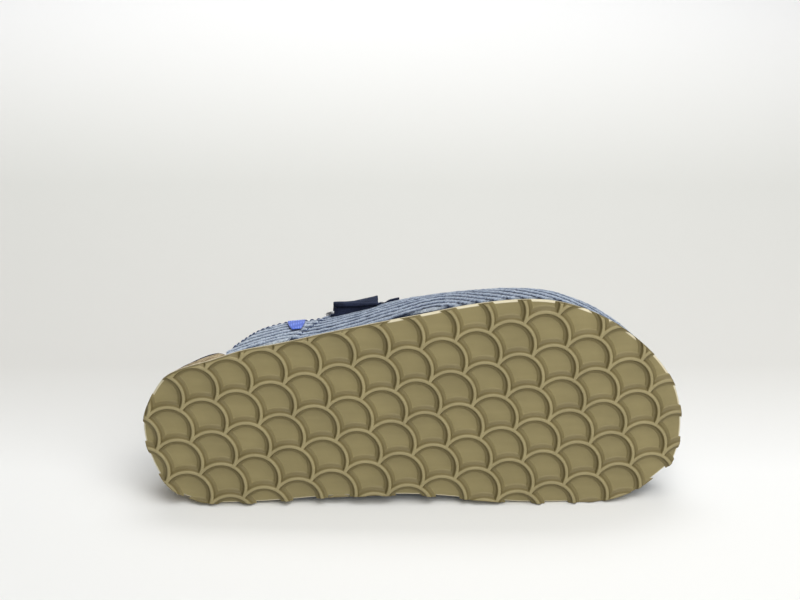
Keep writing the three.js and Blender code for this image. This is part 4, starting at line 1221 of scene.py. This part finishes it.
# Floor, light and camera.
stage = {
    "floorSize": 6, "worldColor": "f4f5f3", "worldStrength": 0.19,
    "backdropFrom": -0.15, "backdropTo": 1.35,  # metres behind the shoe between which the painted shade changes
    "backdropShade": [(0.1, "e8e8e6"), (0.2, "cecdc9"), (0.45, "c1c1bd"), (0.95, "cecece")],
}


def makeStage():
    bpy.ops.mesh.primitive_plane_add(size=stage["floorSize"])
    floor = bpy.context.object
    floor.name = "floor"
    material, tree, shader = newMaterial("floor_with_painted_shade")
    place = add(tree, "ShaderNodeTexCoord").outputs["Object"]
    apart = add(tree, "ShaderNodeSeparateXYZ", {"Vector": place})
    reach = {"From Min": stage["backdropFrom"], "From Max": stage["backdropTo"]}
    back = add(tree, "ShaderNodeMapRange", {"Value": apart.outputs["Y"], **reach})
    # Painted shade and light: the floor's colour gets darker towards the back and then a little lighter,
    # set against how the lamps' light falls off across it.
    colour = add(tree, "ShaderNodeValToRGB", {"Fac": back.outputs[0]},
                 stops=stage["backdropShade"]).outputs["Color"]
    setInputs(tree, shader, {"Base Color": colour, "Roughness": 0.75, "Specular IOR Level": 0.2})
    floor.data.materials.append(material)
    world = bpy.data.worlds.new("studio")
    world.use_nodes = True
    world.node_tree.nodes["Background"].inputs["Color"].default_value = srgb(stage["worldColor"])
    world.node_tree.nodes["Background"].inputs["Strength"].default_value = stage["worldStrength"]
    bpy.context.scene.world = world


lights = [  # place, size, power and spread of each softbox, all turned to the aim
    {"name": "topBox", "place": (0.25, -0.3, 1.35), "aim": (0, 0, 0.05), "size": 1.2, "power": 9.5,
     "spread": 180},
    {"name": "frontBox", "place": (0.4, -1.12, 1.1), "aim": (0, 0, 0.05), "size": 1.4, "power": 19,
     "spread": 180},
    {"name": "backBox", "place": (0, 1.25, 1.6), "aim": (0, 1.25, 0), "size": 1.5, "power": 13,
     "spread": 85},
]


def makeLights():
    for box in lights:
        bpy.ops.object.light_add(type="AREA", location=box["place"])
        lamp = bpy.context.object
        lamp.name = box["name"]
        lamp.data.size = box["size"]
        lamp.data.energy = box["power"]
        lamp.data.spread = math.radians(box["spread"])
        aim = Vector(box["aim"]) - Vector(box["place"])
        lamp.rotation_euler = aim.to_track_quat("-Z", "Y").to_euler()


view = {  # the camera in the shoe's own millimetres, fitted to the photo's view
    "centre": (88.97, -350.15, -897.72), "right": (0.999146, -0.014946, -0.038517),
    "down": (0.004368, 0.965261, -0.261251), "lens": 85.5, "sensor": 36,
}


def makeCamera():
    data = bpy.data.cameras.new("photoView")
    camera = bpy.data.objects.new("photoView", data)
    bpy.context.collection.objects.link(camera)
    data.lens, data.sensor_width = view["lens"], view["sensor"]
    right = (turn @ Vector(view["right"])).normalized()
    up = -(turn @ Vector(view["down"]))
    up = (up - right * up.dot(right)).normalized()
    axes = Matrix((right, up, right.cross(up))).transposed().to_4x4()
    camera.matrix_world = Matrix.Translation(toRow @ Vector(view["centre"])) @ axes
    bpy.context.scene.camera = camera


makeStage()
makeLights()
makeCamera()
bpy.context.scene.view_settings.view_transform = "Standard"
print("stage ready")
